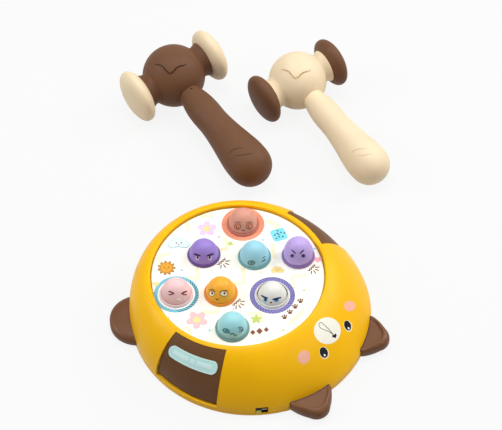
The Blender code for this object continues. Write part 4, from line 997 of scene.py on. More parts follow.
class Print:
    """Collects drawings of several inks on one surface, then makes one piece of them."""

    def __init__(self, carry):
        self.carry = carry
        self.form = bmesh.new()
        self.inks = []
        self.layer = 1

    def ink(self, name):
        finish = INKS[name]
        if finish not in self.inks:
            self.inks.append(finish)
        return self.inks.index(finish)

    def sheet(self, rows, colour):
        """Rows of drawing points with the same count: a closed thin film over all of them."""
        number = self.ink(colour)
        top = FILM * self.layer
        fronts = [[self.form.verts.new(self.carry(u, v, top)) for u, v in row] for row in rows]
        rears = [[self.form.verts.new(self.carry(u, v, -FILM)) for u, v in row] for row in rows]
        faces = []
        for i in range(len(rows) - 1):
            for j in range(len(rows[0]) - 1):
                faces.append([fronts[i][j], fronts[i + 1][j], fronts[i + 1][j + 1], fronts[i][j + 1]])
                faces.append([rears[i][j], rears[i][j + 1], rears[i + 1][j + 1], rears[i + 1][j]])
        last_i, last_j = len(rows) - 1, len(rows[0]) - 1
        edge = [(i, 0) for i in range(last_i)] + [(last_i, j) for j in range(last_j)]
        edge += [(i, last_j) for i in range(last_i, 0, -1)] + [(0, j) for j in range(last_j, 0, -1)]
        for (i, j), (k, m) in zip(edge, edge[1:] + edge[:1]):
            faces.append([fronts[i][j], fronts[k][m], rears[k][m], rears[i][j]])
        for corners_of in faces:
            face = self.form.faces.new(corners_of)
            face.material_index = number
        self.layer += LAYER_STEP

    def blob(self, middle, edge, colour, rings=3):
        """A filled form round its middle, from a list of edge points."""
        number = self.ink(colour)
        top = FILM * self.layer
        u0, v0 = middle
        loops = []
        for ring in range(1, rings + 1):
            part = ring / rings
            loops.append([self.form.verts.new(self.carry(u0 + (u - u0) * part, v0 + (v - v0) * part, top))
                          for u, v in edge])
        hub = self.form.verts.new(self.carry(u0, v0, top))
        rear = [self.form.verts.new(self.carry(u, v, -FILM)) for u, v in edge]
        rear_hub = self.form.verts.new(self.carry(u0, v0, -FILM))
        count = len(edge)
        for i in range(count):
            j = (i + 1) % count
            corner_sets = [[hub, loops[0][i], loops[0][j]], [rear_hub, rear[j], rear[i]],
                           [loops[-1][i], rear[i], rear[j], loops[-1][j]]]
            for near, far in zip(loops, loops[1:]):
                corner_sets.append([near[i], far[i], far[j], near[j]])
            for corners_of in corner_sets:
                face = self.form.faces.new(corners_of)
                face.material_index = number
        self.layer += LAYER_STEP

    def oval(self, u, v, half_u, half_v, colour, turn=0.0, count=28, rings=3):
        edge = []
        for i in range(count):
            a = 2 * pi * i / count
            x, y = half_u * cos(a), half_v * sin(a)
            edge.append((u + x * cos(turn) - y * sin(turn), v + x * sin(turn) + y * cos(turn)))
        self.blob((u, v), edge, colour, rings)

    def stroke(self, points, width, colour, taper=0.0):
        """A line with round ends through points, thinner towards its ends by the taper."""
        line = even_points(points, max(6, 4 * len(points)))
        count = len(line)
        left, right = [], []
        for i, point in enumerate(line):
            along = (line[min(i + 1, count - 1)] - line[max(i - 1, 0)]).normalized()
            share_in = abs(2 * i / (count - 1) - 1)
            half = width / 2 * (1 - taper * share_in ** 2)
            left.append((point.x - along.y * half, point.y + along.x * half))
            right.append((point.x + along.y * half, point.y - along.x * half))
        self.sheet([left, right], colour)

    def ring(self, u, v, inner, outer, colour, count=72):
        number = self.ink(colour)
        top = FILM * self.layer
        loops = []
        for radius, height in ((inner, -FILM), (inner, top), (outer, top), (outer, -FILM)):
            loops.append([self.form.verts.new(self.carry(u + radius * cos(2 * pi * i / count),
                                                         v + radius * sin(2 * pi * i / count), height))
                          for i in range(count)])
        for near, far in zip(loops, loops[1:] + loops[:1]):
            for face in join_rows(self.form, near, far):
                face.material_index = number
        self.layer += LAYER_STEP

    def finish(self, name, body):
        mesh = bpy.data.meshes.new(name)
        bmesh.ops.recalc_face_normals(self.form, faces=self.form.faces)
        self.form.to_mesh(mesh)
        self.form.free()
        made = keep(name, mesh, *self.inks)
        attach(made, body)
        return made


def ink(name, colour, rough=0.34, vary=0.04):
    """Printing ink: glossy, with the faint mottle of a film that wets plastic unevenly."""
    made, made_nodes, links = new_material("ink_" + name)
    tree = made.node_tree
    shader = made_nodes["Principled BSDF"]
    tint = blended(tree, spread(tree, cloud(tree, 0.003), 0, 1), rgba(colour, 1 - vary),
                   rgba(colour, 1 + vary))
    links.new(tint, shader.inputs["Base Color"])
    links.new(spread(tree, cloud(tree, 0.002), rough - 0.04, rough + 0.05), shader.inputs["Roughness"])
    links.new(raised(tree, cloud(tree, 0.0004, 2.0), 0.00001, 0.4), shader.inputs["Normal"])
    shader.inputs["Specular IOR Level"].default_value = 0.2
    return made


INKS = {name: ink(name, colour) for name, colour in {
    "cream": (255, 250, 236), "black": (10, 7, 6), "white": (250, 250, 250), "cheek": (253, 186, 160),
    "straw": (254, 242, 206), "butter": (252, 226, 150), "salmon": (240, 154, 122), "teal": (112, 190, 200),
    "sky": (150, 205, 235), "violet": (112, 112, 174), "navy": (44, 48, 100), "orange": (246, 166, 54),
    "rose": (246, 178, 190), "lilac": (206, 172, 226), "leaf": (196, 214, 110), "umber": (120, 72, 48),
    "plum": (62, 42, 84), "slate": (58, 92, 104), "berry": (120, 48, 58), "aqua": (134, 222, 236),
    "amber": (206, 148, 52), "frost": (228, 244, 250), "blush": (248, 200, 200), "brick": (142, 78, 62),
    "olive": (84, 104, 84), "moon": (214, 206, 236),
    # The edge ink is painted shadow: the dark line in the gap between the sheet and the rim.
    "edge": (186, 150, 72), "mauve": (240, 206, 236),
}.items()}
print("inks:", len(INKS))

# %% [markdown]
# ## The animal's face
#
# The face is printed on the front of the shoulder: a pale round snout with a small black nose and one
# thin loop, two black eyes with a glint and a pale edge, and two pink cheeks. On the curved shell its
# forms are hard to measure, but in the photograph they are plain ovals. So each one is typed in as it
# is seen there, in pixels right and down, and carried along the lines of sight on to the woven shell.

# %% Carry a drawing along the lines of sight
def seen_on(surface):
    """A carrying function from the photograph on to the shown form of a piece."""
    tree = BVHTree.FromObject(surface, bpy.context.evaluated_depsgraph_get())
    across = Vector((cos(CAMERA_AZIMUTH), sin(CAMERA_AZIMUTH), 0))
    upward = back.cross(across)

    def carry(u, v, lift):
        sight = across * (u - IMAGE_WIDTH / 2) - upward * (v - IMAGE_HEIGHT / 2) - back * FOCAL_PIXELS
        place, normal, _, _ = tree.ray_cast(camera.location, sight.normalized())
        return place + normal * lift
    return carry


def turned_about(points, middle, turn):
    u, v = middle
    return [(u + x * cos(turn) - y * sin(turn), v + x * sin(turn) + y * cos(turn)) for x, y in points]


# %% Where the face is seen, in pixels right and down
SNOUT_SEEN = (327.3, 330.7)
SNOUT_FILMS = ((13.5, "straw"), (13.0, "cream"))
LOOP_SEEN = ((333.2, 334.6), (327.8, 328.3), (324.0, 324.8), (321.5, 322.7), (319.4, 323.2),
             (318.9, 325.4), (320.9, 328.2), (324.8, 329.9), (329.4, 331.9), (333.4, 335.0))
LOOP_WIDTH = 0.55
NOSE_SEEN = (334.6, 336.0)
NOSE_SIZE = 2.4
NOSE_LEAN = -0.5
EYES_SEEN = {"right": ((347.6, 325.6), (3.3, 5.2), (348.5, 328.3)),
             "left": ((323.8, 352.5), (4.0, 5.5), (324.6, 355.1))}
EYE_LEAN = -0.34
EYE_EDGE = 0.7
EYE_EDGE_SHIFT = (0.25, 0.35)
GLINT_SIZE = (1.0, 1.2)
CHEEKS_SEEN = {"right": ((349.7, 306.0), (5.8, 5.2), 0.1), "left": ((304.0, 357.3), (6.0, 7.0), 0.3)}

# %% Print the animal's face
on_shell = seen_on(upper_shell)
snout = Print(on_shell)
for radius, colour in SNOUT_FILMS:
    snout.oval(*SNOUT_SEEN, radius, radius, colour, count=64, rings=8)
loop = smooth_curve(LOOP_SEEN, 4)
snout.stroke([tuple(point) for point in loop], LOOP_WIDTH, "black")
nose = [(x, -y) for x, y in heart(0, 0, NOSE_SIZE)]
snout.blob(NOSE_SEEN, turned_about(nose, NOSE_SEEN, NOSE_LEAN), "black", 3)
snout.finish("print_snout", "base")

for name, (middle, half, glint) in EYES_SEEN.items():
    eye = Print(on_shell)
    eye.oval(middle[0] + EYE_EDGE_SHIFT[0], middle[1] + EYE_EDGE_SHIFT[1], half[0] + EYE_EDGE,
             half[1] + EYE_EDGE, "straw", EYE_LEAN, rings=4)
    eye.oval(*middle, *half, "black", EYE_LEAN, rings=4)
    eye.oval(*glint, *GLINT_SIZE, "white", EYE_LEAN, 18, 2)
    eye.finish("print_eye_" + name, "base")
for name, (middle, half, lean) in CHEEKS_SEEN.items():
    cheek = Print(on_shell)
    cheek.oval(*middle, *half, "cheek", lean, 36, 5)
    cheek.finish("print_cheek_" + name, "base")
print("face prints: 5")

# %% [markdown]
# ## Lower shell, battery door and screws
#
# The lower shell is a shallow tray that the upper one sits on. It is turned fine enough to match the
# upper shell, and its openings are cut with the sizes of the solids: the battery space, the door's
# seat, the holes for the case screws, and the speaker's grille.

# %% Lower shell
FLOOR_THICKNESS = 0.0022
BOX_PLACE = 0.0360
CELL_RADIUS = 0.00715
DOOR_THICKNESS = 0.0018
CELL_COUNT = 3
CELL_LENGTH = 0.0490
CELL_NUB = 0.0014
CELL_SPACING = 0.0003
CONTACT_REACH = 0.0030
CONTACT_THICKNESS = 0.0006
BOX_CLEARANCE = 0.0006
BOX_WALL = 0.0026
DOOR_LEDGE = 0.0012
LUG_OUT = 0.0036
TAB_AWAY = 0.0130
TAB_REACH = 0.0017
TAB_HALF = 0.0043
BOSS_TOP = 0.0115
EDGE_ROUND = 0.0012
TONGUE_WALL = 0.0016
GRILLE_CIRCLE = 0.0096
GRILLE_TURN = radians(13)
GRILLE_HOLE = 0.0020
SPEAKER_AWAY = 0.0700
GRILLE_TOP = 0.00255
BELOW = -0.004
POST_INSET = 0.0262
LUG_BOSS_RADIUS = 0.0063
LUG_SEAT_RADIUS = 0.0055
LUG_SEAT_TOP = 0.0039
LUG_HOLE_RADIUS = 0.0023
LUG_HOLE_TOP = 0.0092
CASE_BOSS_RADIUS = 0.0046
SCREW_SEAT_RADIUS = 0.0030
SCREW_SEAT_TOP = 0.0070
SHANK_RADIUS = 0.0017
SHANK_BOTTOM = 0.003
SHANK_TOP = 0.014
box_half_x = (CELL_LENGTH + CELL_NUB + 2 * (CONTACT_REACH + CONTACT_THICKNESS + GAP)) / 2
box_half_y = (CELL_COUNT * (2 * CELL_RADIUS + CELL_SPACING) + BOX_CLEARANCE) / 2
box_inner_top = DOOR_THICKNESS + 2 * CELL_RADIUS + 2 * GAP
POST_CIRCLE = BASE_RADIUS - POST_INSET
SCREW_PLACES = [(POST_CIRCLE * cos(turn), POST_CIRCLE * sin(turn))
                for turn in [radians(45 + 90 * i) for i in range(4)]]

tray_outline = [(0.0, 0.0)] + rounded_path([(0.0, 0.0), (BASE_RADIUS, 0.0), (BASE_RADIUS, SEAM_HEIGHT)],
                                           EDGE_ROUND)[1:]
tongue_out = BASE_RADIUS - WALL - GAP
tray_outline += [(tongue_out, SEAM_HEIGHT), (tongue_out, TONGUE_TOP), (tongue_out - TONGUE_WALL, TONGUE_TOP),
                 (tongue_out - TONGUE_WALL, FLOOR_THICKNESS), (0.0, FLOOR_THICKNESS)]
tray = keep("shell_lower", turned_mesh("shell_lower", tray_outline, 200), shell_finish)
wall_out = BOX_WALL + DOOR_LEDGE
ledge_x, ledge_y = box_half_x + DOOR_LEDGE + GAP, box_half_y + DOOR_LEDGE + GAP
lug_x = box_half_x + DOOR_LEDGE + LUG_OUT
half_floor = FLOOR_THICKNESS / 2
cuts = [
    ("UNION", box_mesh("box", (-box_half_x - wall_out, BOX_PLACE - box_half_y - wall_out, half_floor),
                       (box_half_x + wall_out, BOX_PLACE + box_half_y + wall_out,
                        box_inner_top + BOX_WALL))),
    ("UNION", rod_mesh("boss", LUG_BOSS_RADIUS, half_floor, BOSS_TOP, (lug_x, BOX_PLACE), 32)),
    ("DIFFERENCE", box_mesh("space", (-box_half_x, BOX_PLACE - box_half_y, BELOW),
                            (box_half_x, BOX_PLACE + box_half_y, box_inner_top))),
    ("DIFFERENCE", box_mesh("seat", (-ledge_x, BOX_PLACE - ledge_y, BELOW),
                            (ledge_x, BOX_PLACE + ledge_y, DOOR_THICKNESS + GAP))),
    ("DIFFERENCE", rod_mesh("lug", LUG_SEAT_RADIUS, BELOW, LUG_SEAT_TOP, (lug_x, BOX_PLACE), 32)),
    ("DIFFERENCE", rod_mesh("hole", LUG_HOLE_RADIUS, BELOW, LUG_HOLE_TOP, (lug_x, BOX_PLACE), 24)),
]
for sign in (-1, 1):
    middle = BOX_PLACE + sign * TAB_AWAY
    cuts.append(("DIFFERENCE", box_mesh("tab", (-ledge_x - TAB_REACH, middle - TAB_HALF, BELOW),
                                        (-box_half_x, middle + TAB_HALF, DOOR_THICKNESS + GAP))))
for x, y in SCREW_PLACES:
    cuts.append(("UNION", rod_mesh("boss", CASE_BOSS_RADIUS, half_floor, BOSS_TOP, (x, y), 32)))
    cuts.append(("DIFFERENCE", rod_mesh("head", SCREW_SEAT_RADIUS, BELOW, SCREW_SEAT_TOP, (x, y), 32)))
    cuts.append(("DIFFERENCE", rod_mesh("shank", SHANK_RADIUS, SHANK_BOTTOM, SHANK_TOP, (x, y), 24)))
for reach, count in ((0.0, 1), (GRILLE_CIRCLE, 7)):
    for i in range(count):
        a = 2 * pi * i / count + GRILLE_TURN
        cuts.append(("DIFFERENCE", rod_mesh("grille", GRILLE_HOLE, BELOW, GRILLE_TOP,
                                            (reach * cos(a), reach * sin(a) - SPEAKER_AWAY), 20)))
carve(tray, cuts)
soften(tray, 0.0002, 1, 50)
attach(tray, "base")
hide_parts("lower_shell")
print("lower shell faces:", len(tray.data.polygons))

# %% [markdown]
# ## The play area
#
# A printed sheet covers the panel, cream with pale straw strokes. Plain motifs are scattered between
# the moles: a sun, clouds, flowers, a speckled block, hearts and clovers, with bursts of short
# strokes, paw prints and diamonds. Three of the moles have a coloured ring printed round them.

# %% Where the moles are
MOLE_PLACES = {
    "purple": (0.0, 0.489), "white": (0.0, -0.489), "teal": (0.323, 0.0), "orange": (-0.323, 0.0),
    "lilac": (0.636, -0.398), "salmon": (0.636, 0.398), "pink": (-0.636, 0.398), "mint": (-0.636, -0.398),
}
MOLE_AT = {name: Vector((x * PANEL_RADIUS, y * PANEL_RADIUS + PANEL_SHIFT, 0))
           for name, (x, y) in MOLE_PLACES.items()}
COLLAR_BORE = 0.0158
COLLAR_WALL = 0.0006
COLLAR_SLEEVE = COLLAR_BORE + COLLAR_WALL

# %% Printed sheet
def sheet_finish_material():
    made, made_nodes, links = new_material("printed_sheet")
    tree = made.node_tree
    shader = made_nodes["Principled BSDF"]
    tint = blended(tree, spread(tree, cloud(tree, 0.03, 2.0), 0, 1), rgba((255, 255, 249)),
                   rgba((255, 252, 234)))
    links.new(tint, shader.inputs["Base Color"])
    links.new(spread(tree, cloud(tree, 0.01), 0.26, 0.36), shader.inputs["Roughness"])
    links.new(raised(tree, cloud(tree, 0.0008, 2.0), 0.00001, 0.3), shader.inputs["Normal"])
    return made


sheet_finish = sheet_finish_material()
sheet = keep("play_sheet", rod_mesh("play_sheet", PANEL_RADIUS - GAP, SHEET_TOP - SHEET_THICKNESS, SHEET_TOP,
                                    (0, PANEL_SHIFT), 200), sheet_finish)
carve(sheet, [("DIFFERENCE", rod_mesh("hole", COLLAR_SLEEVE + GAP, SHEET_TOP - 0.005, SHEET_TOP + 0.005,
                                      (at.x, at.y), 64)) for at in MOLE_AT.values()])
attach(sheet, "base")
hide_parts("printed_sheet")


# %% Motifs for the sheet
def on_sheet(u, v, lift):
    """Millimetres right and up in the photograph's view, laid on the sheet."""
    a = CAMERA_AZIMUTH
    x = u * cos(a) - v * sin(a)
    y = u * sin(a) + v * cos(a)
    return Vector((x * MM, y * MM + PANEL_SHIFT, SHEET_TOP + lift))


def sheet_place(name):
    at = MOLE_AT[name]
    x, y = at.x / MM, (at.y - PANEL_SHIFT) / MM
    a = CAMERA_AZIMUTH
    return x * cos(a) + y * sin(a), -x * sin(a) + y * cos(a)


def petals(u, v, size, count, dent, turn=0.0, steps=8):
    """The edge of a flower, sun or clover: so many bumps round a middle."""
    edge = []
    for i in range(count * steps):
        a = 2 * pi * i / (count * steps) + turn
        bump = abs(cos(count * (a - turn) / 2))
        reach = size * (1 - dent * (1 - bump))
        edge.append((u + reach * cos(a), v + reach * sin(a)))
    return edge


# %% Straw bands and rings
# Painted shadow: a thin darker ring round the sheet, for the shadow in its gap against the rim.
SHEET_EDGE_PAINTED_SHADOW = (89.0, 89.8)
BAND_WIDTH = 4.2
BANDS = (
    ((-13, 49), (-11, 34), (-21, 33)), ((36, 41), (38, 21)), ((5, 10), (7, -10), (-4, -11)),
    ((-43, 9), (-40, -4), (-56, -5)), ((-37, -47), (-21, -48), (-19, -40)),
    ((57, -13), (56, -2), (72, 0)), ((10, -50), (24, -49), (24, -60)), ((-42, 78), (-26, 79)),
    ((-54, 70), (-52, 58)), ((52, -62), (68, -45)), ((-52, -65), (-46, -74)),
    ((-71, 28), (-82, 24), (-80, 4)), ((30, 72), (42, 66), (38, 58)))
RINGS = (("salmon", 17.2, 22.6, 17.2, "salmon"), ("pink", 19.2, 23.0, 17.4, "teal"),
         ("white", 18.2, 23.2, 17.2, "violet"))
RING_STROKES = (("pink", "navy", 19.6, 22.8, -1.5, 0.9), ("pink", "sky", 19.6, 22.8, 0.95, 4.7),
                ("white", "lilac", 18.8, 22.8, 0.0, 6.2))
STROKE_STEP = 0.15
STROKE_LEAN = 0.14

art = Print(on_sheet)
# Painted shadow round the sheet's edge.
art.ring(0, 0, *SHEET_EDGE_PAINTED_SHADOW, "edge", 160)
for band in BANDS:
    art.layer = 1
    art.stroke(band, BAND_WIDTH, "straw")
for name, inner, outer, edge, colour in RINGS:
    u, v = sheet_place(name)
    art.layer = 2
    art.ring(u, v, edge - 0.4, outer, "white")
    art.ring(u, v, inner, outer, colour)
for name, colour, inner, outer, first, last in RING_STROKES:
    u, v = sheet_place(name)
    count = int((last - first) / STROKE_STEP)
    for i in range(count):
        a = first + (last - first) * i / count
        art.layer = 4
        art.stroke([(u + inner * cos(a), v + inner * sin(a)),
                    (u + outer * cos(a + STROKE_LEAN), v + outer * sin(a + STROKE_LEAN))],
                   0.6 if colour != "lilac" else 0.3, colour)
print("rings printed")


# %% Draw the motifs
def eyes_and_smile(u, v, size, colour="umber"):
    """Two dots and a curve, as a child would draw them on a cloud or a flower."""
    for side in (-1, 1):
        art.oval(u + side * size * 0.24, v + size * 0.06, size * 0.06, size * 0.09, colour, count=12, rings=1)
    art.stroke([(u - size * 0.12, v - size * 0.12), (u, v - size * 0.2), (u + size * 0.12, v - size * 0.12)],
               0.45, colour, 0.3)


def sun(u, v, size):
    art.layer = 4
    art.blob((u, v), petals(u, v, size, 11, 0.34), "umber", 3)
    art.blob((u, v), petals(u, v, size * 0.93, 11, 0.34), "amber", 3)
    art.oval(u, v, size * 0.60, size * 0.60, "orange")
    eyes_and_smile(u, v, size)


def puff(u, v, size, colour, edge="sky"):
    """A cloud: overlapping rounds, first a little larger in the colour of the outline."""
    rounds = ((-0.62, -0.12, 0.42), (0.62, -0.12, 0.40), (-0.2, 0.16, 0.56), (0.28, 0.08, 0.52))
    for grow, shade in ((0.5, edge), (0.0, colour)):
        art.layer = 4 if grow else 7
        for du, dv, part in rounds:
            art.oval(u + du * size, v + dv * size, part * size + grow, part * size + grow, shade, count=24)
    art.layer = 10
    eyes_and_smile(u, v, size)


def flower(u, v, size, colour, turn=0.0, edge="rose"):
    art.layer = 4
    art.blob((u, v), petals(u, v, size, 5, 0.42, turn), edge, 3)
    art.blob((u, v), petals(u, v, size * 0.92, 5, 0.42, turn), colour, 3)
    art.oval(u, v, size * 0.34, size * 0.34, "butter", count=20, rings=2)


def speckled(u, v, size, colour, dots):
    """A soft block with rounded corners and a scatter of dots."""
    art.layer = 4
    edge = []
    for i in range(40):
        x, y = oval_point(2 * pi * i / 40, 5)
        edge.append((u + size * (x * 0.83 - y * 0.32), v + size * (x * 0.32 + y * 0.83)))
    art.blob((u, v), edge, colour, 3)
    for i in range(9):
        a, reach = i * 2.4, size * 0.24 * sqrt(i)
        art.layer = 6
        art.oval(u + reach * cos(a), v + reach * sin(a), 0.8, 1.1, dots, a, 12, 1)


def burst(u, v, size, turn, colour="umber"):
    """Short strokes that fan out, as drawn beside something that has been hit, and one zigzag."""
    for lean in (-0.9, -0.3, 0.3, 0.9):
        a = turn + lean
        art.layer = 4
        art.stroke([(u + size * 0.42 * cos(a), v + size * 0.42 * sin(a)),
                    (u + size * cos(a), v + size * sin(a))], 1.2, colour, 0.4)
    across, along = Vector((-sin(turn), cos(turn))), Vector((cos(turn), sin(turn)))
    zigzag = [Vector((u, v)) + across * (step * size * 0.16) + along * (size * (0.16 if step % 2 else -0.14))
              for step in range(-4, 5)]
    art.layer = 4
    art.stroke([tuple(point) for point in zigzag], 0.9, colour)


def paw(u, v, size, colour):
    """A paw print: one broad pad and three toes, leaning with the rim of the sheet."""
    art.layer = 4
    art.oval(u, v - size * 0.3, size * 0.62, size * 0.5, colour, 0.2, 20, 2)
    for du, dv in ((-0.72, 0.30), (-0.08, 0.62), (0.58, 0.46)):
        art.oval(u + du * size, v + dv * size, size * 0.25, size * 0.34, colour, 0, 12, 1)


def clover(u, v, size, turn, rings=3):
    art.blob((u, v), petals(u, v, size, 5, 0.55, turn), "leaf", rings)


def small_heart(u, v, size, colour):
    art.blob((u, v), heart(u, v, size), colour, 3)


# %% Print the motifs between the moles
BURSTS = ((-17, 17, 9.0), (76.5, 9, 8.4), (-1, -35, 8.8))
BURST_TURN = -0.75
PAWS = ((64.1, -33.4), (58.6, -40.4), (53.2, -47.2), (47.6, -53.6))
PAW_SIZE = 3.3
DIAMONDS = ((15.4, -72.4, 2.5), (22.2, -70.8, 3.2), (29.0, -69.0, 2.5))
DOTS = ((-20, 50, "rose"), (26, 46, "sky"), (-27, 6, "butter"), (-58, 6, "sky"), (-28, -70, "aqua"),
        (68, -20, "leaf"), (58, -16, "butter"), (-4, -44, "rose"), (24, 3, "butter"), (80, 34, "sky"),
        (-70, -54, "butter"), (46, -70, "leaf"))
DOT_SIZE = 1.2

flower(-33, 61, 10.5, "mauve", 0.3, "mauve")
puff(-62, 41, 10.5, "frost", "teal")
sun(-74, 9, 9.5)
speckled(43, 53, 9.0, "aqua", "slate")
flower(-41, -57, 11.0, "blush", 0.9)
puff(41, 6, 6.5, "butter", "straw")
art.layer = 4
clover(19, -56, 5.6, 0.3)
small_heart(83, 20, 4.4, "rose")
small_heart(-84, -12, 3.6, "butter")
clover(-8, 41, 3.0, 0.9, 2)
for u, v, size in BURSTS:
    burst(u, v, size, BURST_TURN)
for u, v in PAWS:
    paw(u, v, PAW_SIZE, "umber")
for u, v, size in DIAMONDS:
    art.layer = 4
    art.blob((u, v), [(u - size, v), (u, v - size * 1.25), (u + size, v), (u, v + size * 1.25)], "brick", 3)
for u, v, colour in DOTS:
    art.layer = 4
    art.oval(u, v, DOT_SIZE, DOT_SIZE, colour, count=16, rings=1)
art.finish("sheet_art", "base")
print("motifs printed")

# %% [markdown]
# ## Moles
#
# A mole is an egg-topped cap that slides in a collar. Its dome is an oval curve, fuller than an ellipse
# across and slimmer towards the top, on a skirt with a stop foot that keeps it in. All of them are one
# turned form; each has its own colour of satin plastic and its own printed face, which looks towards
# the player. One stands higher than the rest and one lower.

# %% Mole form
MOLE_RADIUS = 0.0154
DOME_HEIGHT = 0.0170
DOME_SIDE_POWER = 2.235
DOME_TOP_POWER = 1.45
MOLE_STANDS = 0.0033
MOLE_WALL = 0.0018
MOLE_MIDDLE = SHEET_TOP + MOLE_STANDS
STOP_TOP = 0.0418
STOP_WIDTH = 0.0015
STOP_THICKNESS = 0.0014
SEAT_DEPTH = 0.0121
POST_RADIUS = 0.0024
POST_END = 0.0364
MOLE_EDGE = 0.0004
MOLE_COLOURS = {
    "purple": (156, 130, 212), "white": (233, 233, 228), "teal": (158, 216, 232), "orange": (255, 178, 44),
    "lilac": (194, 170, 234), "salmon": (222, 156, 134), "pink": (250, 206, 208), "mint": (162, 222, 228),
}
RISE = {"lilac": 0.0052, "white": -0.0050}
foot_top = STOP_TOP - MOLE_MIDDLE
dome = [(MOLE_RADIUS * cos(radians(a)) ** (2 / DOME_SIDE_POWER),
         DOME_HEIGHT * sin(radians(a)) ** (2 / DOME_TOP_POWER)) for a in range(88, -1, -4)]
mole_outline = [(0.0, DOME_HEIGHT)] + dome + rounded_path([
    (MOLE_RADIUS, 0.0), (MOLE_RADIUS, foot_top), (MOLE_RADIUS + STOP_WIDTH, foot_top),
    (MOLE_RADIUS + STOP_WIDTH, foot_top - STOP_THICKNESS),
    (MOLE_RADIUS - MOLE_WALL, foot_top - STOP_THICKNESS), (MOLE_RADIUS - MOLE_WALL, -SEAT_DEPTH),
    (POST_RADIUS, -SEAT_DEPTH), (POST_RADIUS, POST_END - MOLE_MIDDLE)], MOLE_EDGE, 2)[1:]
mole_outline.append((0.0, POST_END - MOLE_MIDDLE))
for node in ("mole_teal", "mole_lilac"):
    box_low, box_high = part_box(node)
    print(node, "solid from", round(box_low.z * 1000, 2), "to", round(box_high.z * 1000, 2), "mm")


def mole_finish(name, colour):
    made = moulded("mole_" + name, colour, 0.46, 0.04, 0.0008, 0.00001, shine=0.4)
    shader = made.node_tree.nodes["Principled BSDF"]
    shader.inputs["Subsurface Weight"].default_value = 0.12
    shader.inputs["Subsurface Scale"].default_value = 0.002
    shader.inputs["Subsurface Radius"].default_value = (1.0, 0.7, 0.6)
    return made


# The collars are darker than their moles, partly from their own plastic and partly from painted shade for the
# shadowed gap under each dome.
COLLAR_OWN_AND_SHADE_COLOURS = {
    "purple": (98, 66, 136), "white": (222, 222, 220), "teal": (104, 164, 168), "orange": (238, 142, 30),
    "lilac": (146, 112, 178), "salmon": (198, 116, 94), "pink": (244, 214, 216), "mint": (108, 156, 158),
}
MOLE_FINISH = {name: mole_finish(name, colour) for name, colour in MOLE_COLOURS.items()}
COLLAR_OWN_AND_SHADE_FINISH = {name: moulded("collar_" + name, colour, 0.40, 0.04, 0.0008, 0.00001)
                 for name, colour in COLLAR_OWN_AND_SHADE_COLOURS.items()}

# %% Press a drawing on a dome
FACE_STEP = 0.0008


def outside_dome(point):
    """Below 0 inside the dome or its skirt, above 0 outside; the point is from the dome's foot."""
    out = hypot(point.x, point.y) / MOLE_RADIUS
    up_share = max(point.z, 0.0) / DOME_HEIGHT
    return out ** DOME_SIDE_POWER + up_share ** DOME_TOP_POWER - 1


def on_dome(at, middle):
    """Carry millimetres right and up, as the player sees them, straight on to the dome."""
    foot = Vector((at.x, at.y, middle))
    toward = (camera.location - foot).normalized()
    across = Vector((cos(CAMERA_AZIMUTH), sin(CAMERA_AZIMUTH), 0))
    upward = toward.cross(across)

    def carry(u, v, lift):
        start = across * (u * MM) + upward * (v * MM)
        reach = 0.030
        while outside_dome(start + toward * reach) > 0 and reach > -0.030:
            reach -= FACE_STEP
        near, far = reach, reach + FACE_STEP
        for _ in range(14):
            half = (near + far) / 2
            near, far = (half, far) if outside_dome(start + toward * half) < 0 else (near, half)
        point = start + toward * near
        out = max(hypot(point.x, point.y), 1e-6)
        slope = DOME_SIDE_POWER * (out / MOLE_RADIUS) ** (DOME_SIDE_POWER - 1) / MOLE_RADIUS
        rise = DOME_TOP_POWER * (max(point.z, 1e-6) / DOME_HEIGHT) ** (DOME_TOP_POWER - 1) / DOME_HEIGHT
        normal = Vector((point.x / out * slope, point.y / out * slope, rise if point.z > 0 else 0))
        return foot + point + normal.normalized() * lift
    return carry


def pair(draw):
    for side in (-1, 1):
        draw(side)


# %% Eight expressions
def face_purple(p):
    pair(lambda s: p.oval(s * 6.4 - 0.2, -5.0, 1.9, 2.6, "moon", s * 0.1, 22, 2))
    pair(lambda s: p.oval(s * 6.2 - 0.2, -4.6, 1.1, 1.7, "plum", 0, 16, 2))
    pair(lambda s: p.stroke([(s * 10.2 - 0.2, -0.7), (s * 7.0 - 0.2, -2.0), (s * 3.2 - 0.2, -3.0)], 2.0,
                            "plum", 0.4))


def face_lilac(p):
    pair(lambda s: p.oval(s * 5.7 - 0.6, -5.2, 2.3, 1.9, "violet", 0, 22, 2))
    pair(lambda s: p.oval(s * 5.7 - 0.6, -5.0, 1.5, 1.3, "plum", 0, 18, 2))
    pair(lambda s: p.stroke([(s * 6.4 - 0.6, 1.0), (s * 4.3 - 0.6, -0.7), (s * 2.1 - 0.6, -3.0)], 1.2,
                            "plum", 0.3))


def face_salmon(p):
    for middle in (-5.6, 7.0):
        p.oval(middle, -4.6, 3.7, 3.2, "umber", 0, 26, 2)
        p.oval(middle, -4.7, 3.0, 2.5, "salmon", 0, 24, 2)
        p.oval(middle, -5.0, 1.9, 1.7, "umber", 0, 20, 2)
        p.oval(middle + 0.2, -4.8, 1.2, 1.0, "salmon", 0, 16, 1)
        p.stroke([(middle - 3.6, -0.6), (middle, 0.3), (middle + 3.4, -0.6)], 0.6, "umber", 0.4)
    p.stroke([(-1.2, -8.2), (0.7, -8.9), (2.4, -8.0)], 0.6, "umber", 0.4)


def face_pink(p):
    for side in (-1, 1):
        middle = -4.6 if side < 0 else 7.8
        p.stroke([(middle + side * 3.2, 1.2), (middle, 0.0), (middle - side * 2.6, -1.4)], 1.6,
                 "berry", 0.35)
        p.stroke([(middle + side * 3.2, -2.4), (middle, -2.2), (middle - side * 2.6, -1.2)], 1.2,
                 "berry", 0.35)
    p.oval(2.6, -6.6, 2.0, 1.2, "white", 0, 22, 2)
    p.oval(2.6, -5.5, 1.4, 0.5, "blush", 0, 16, 1)


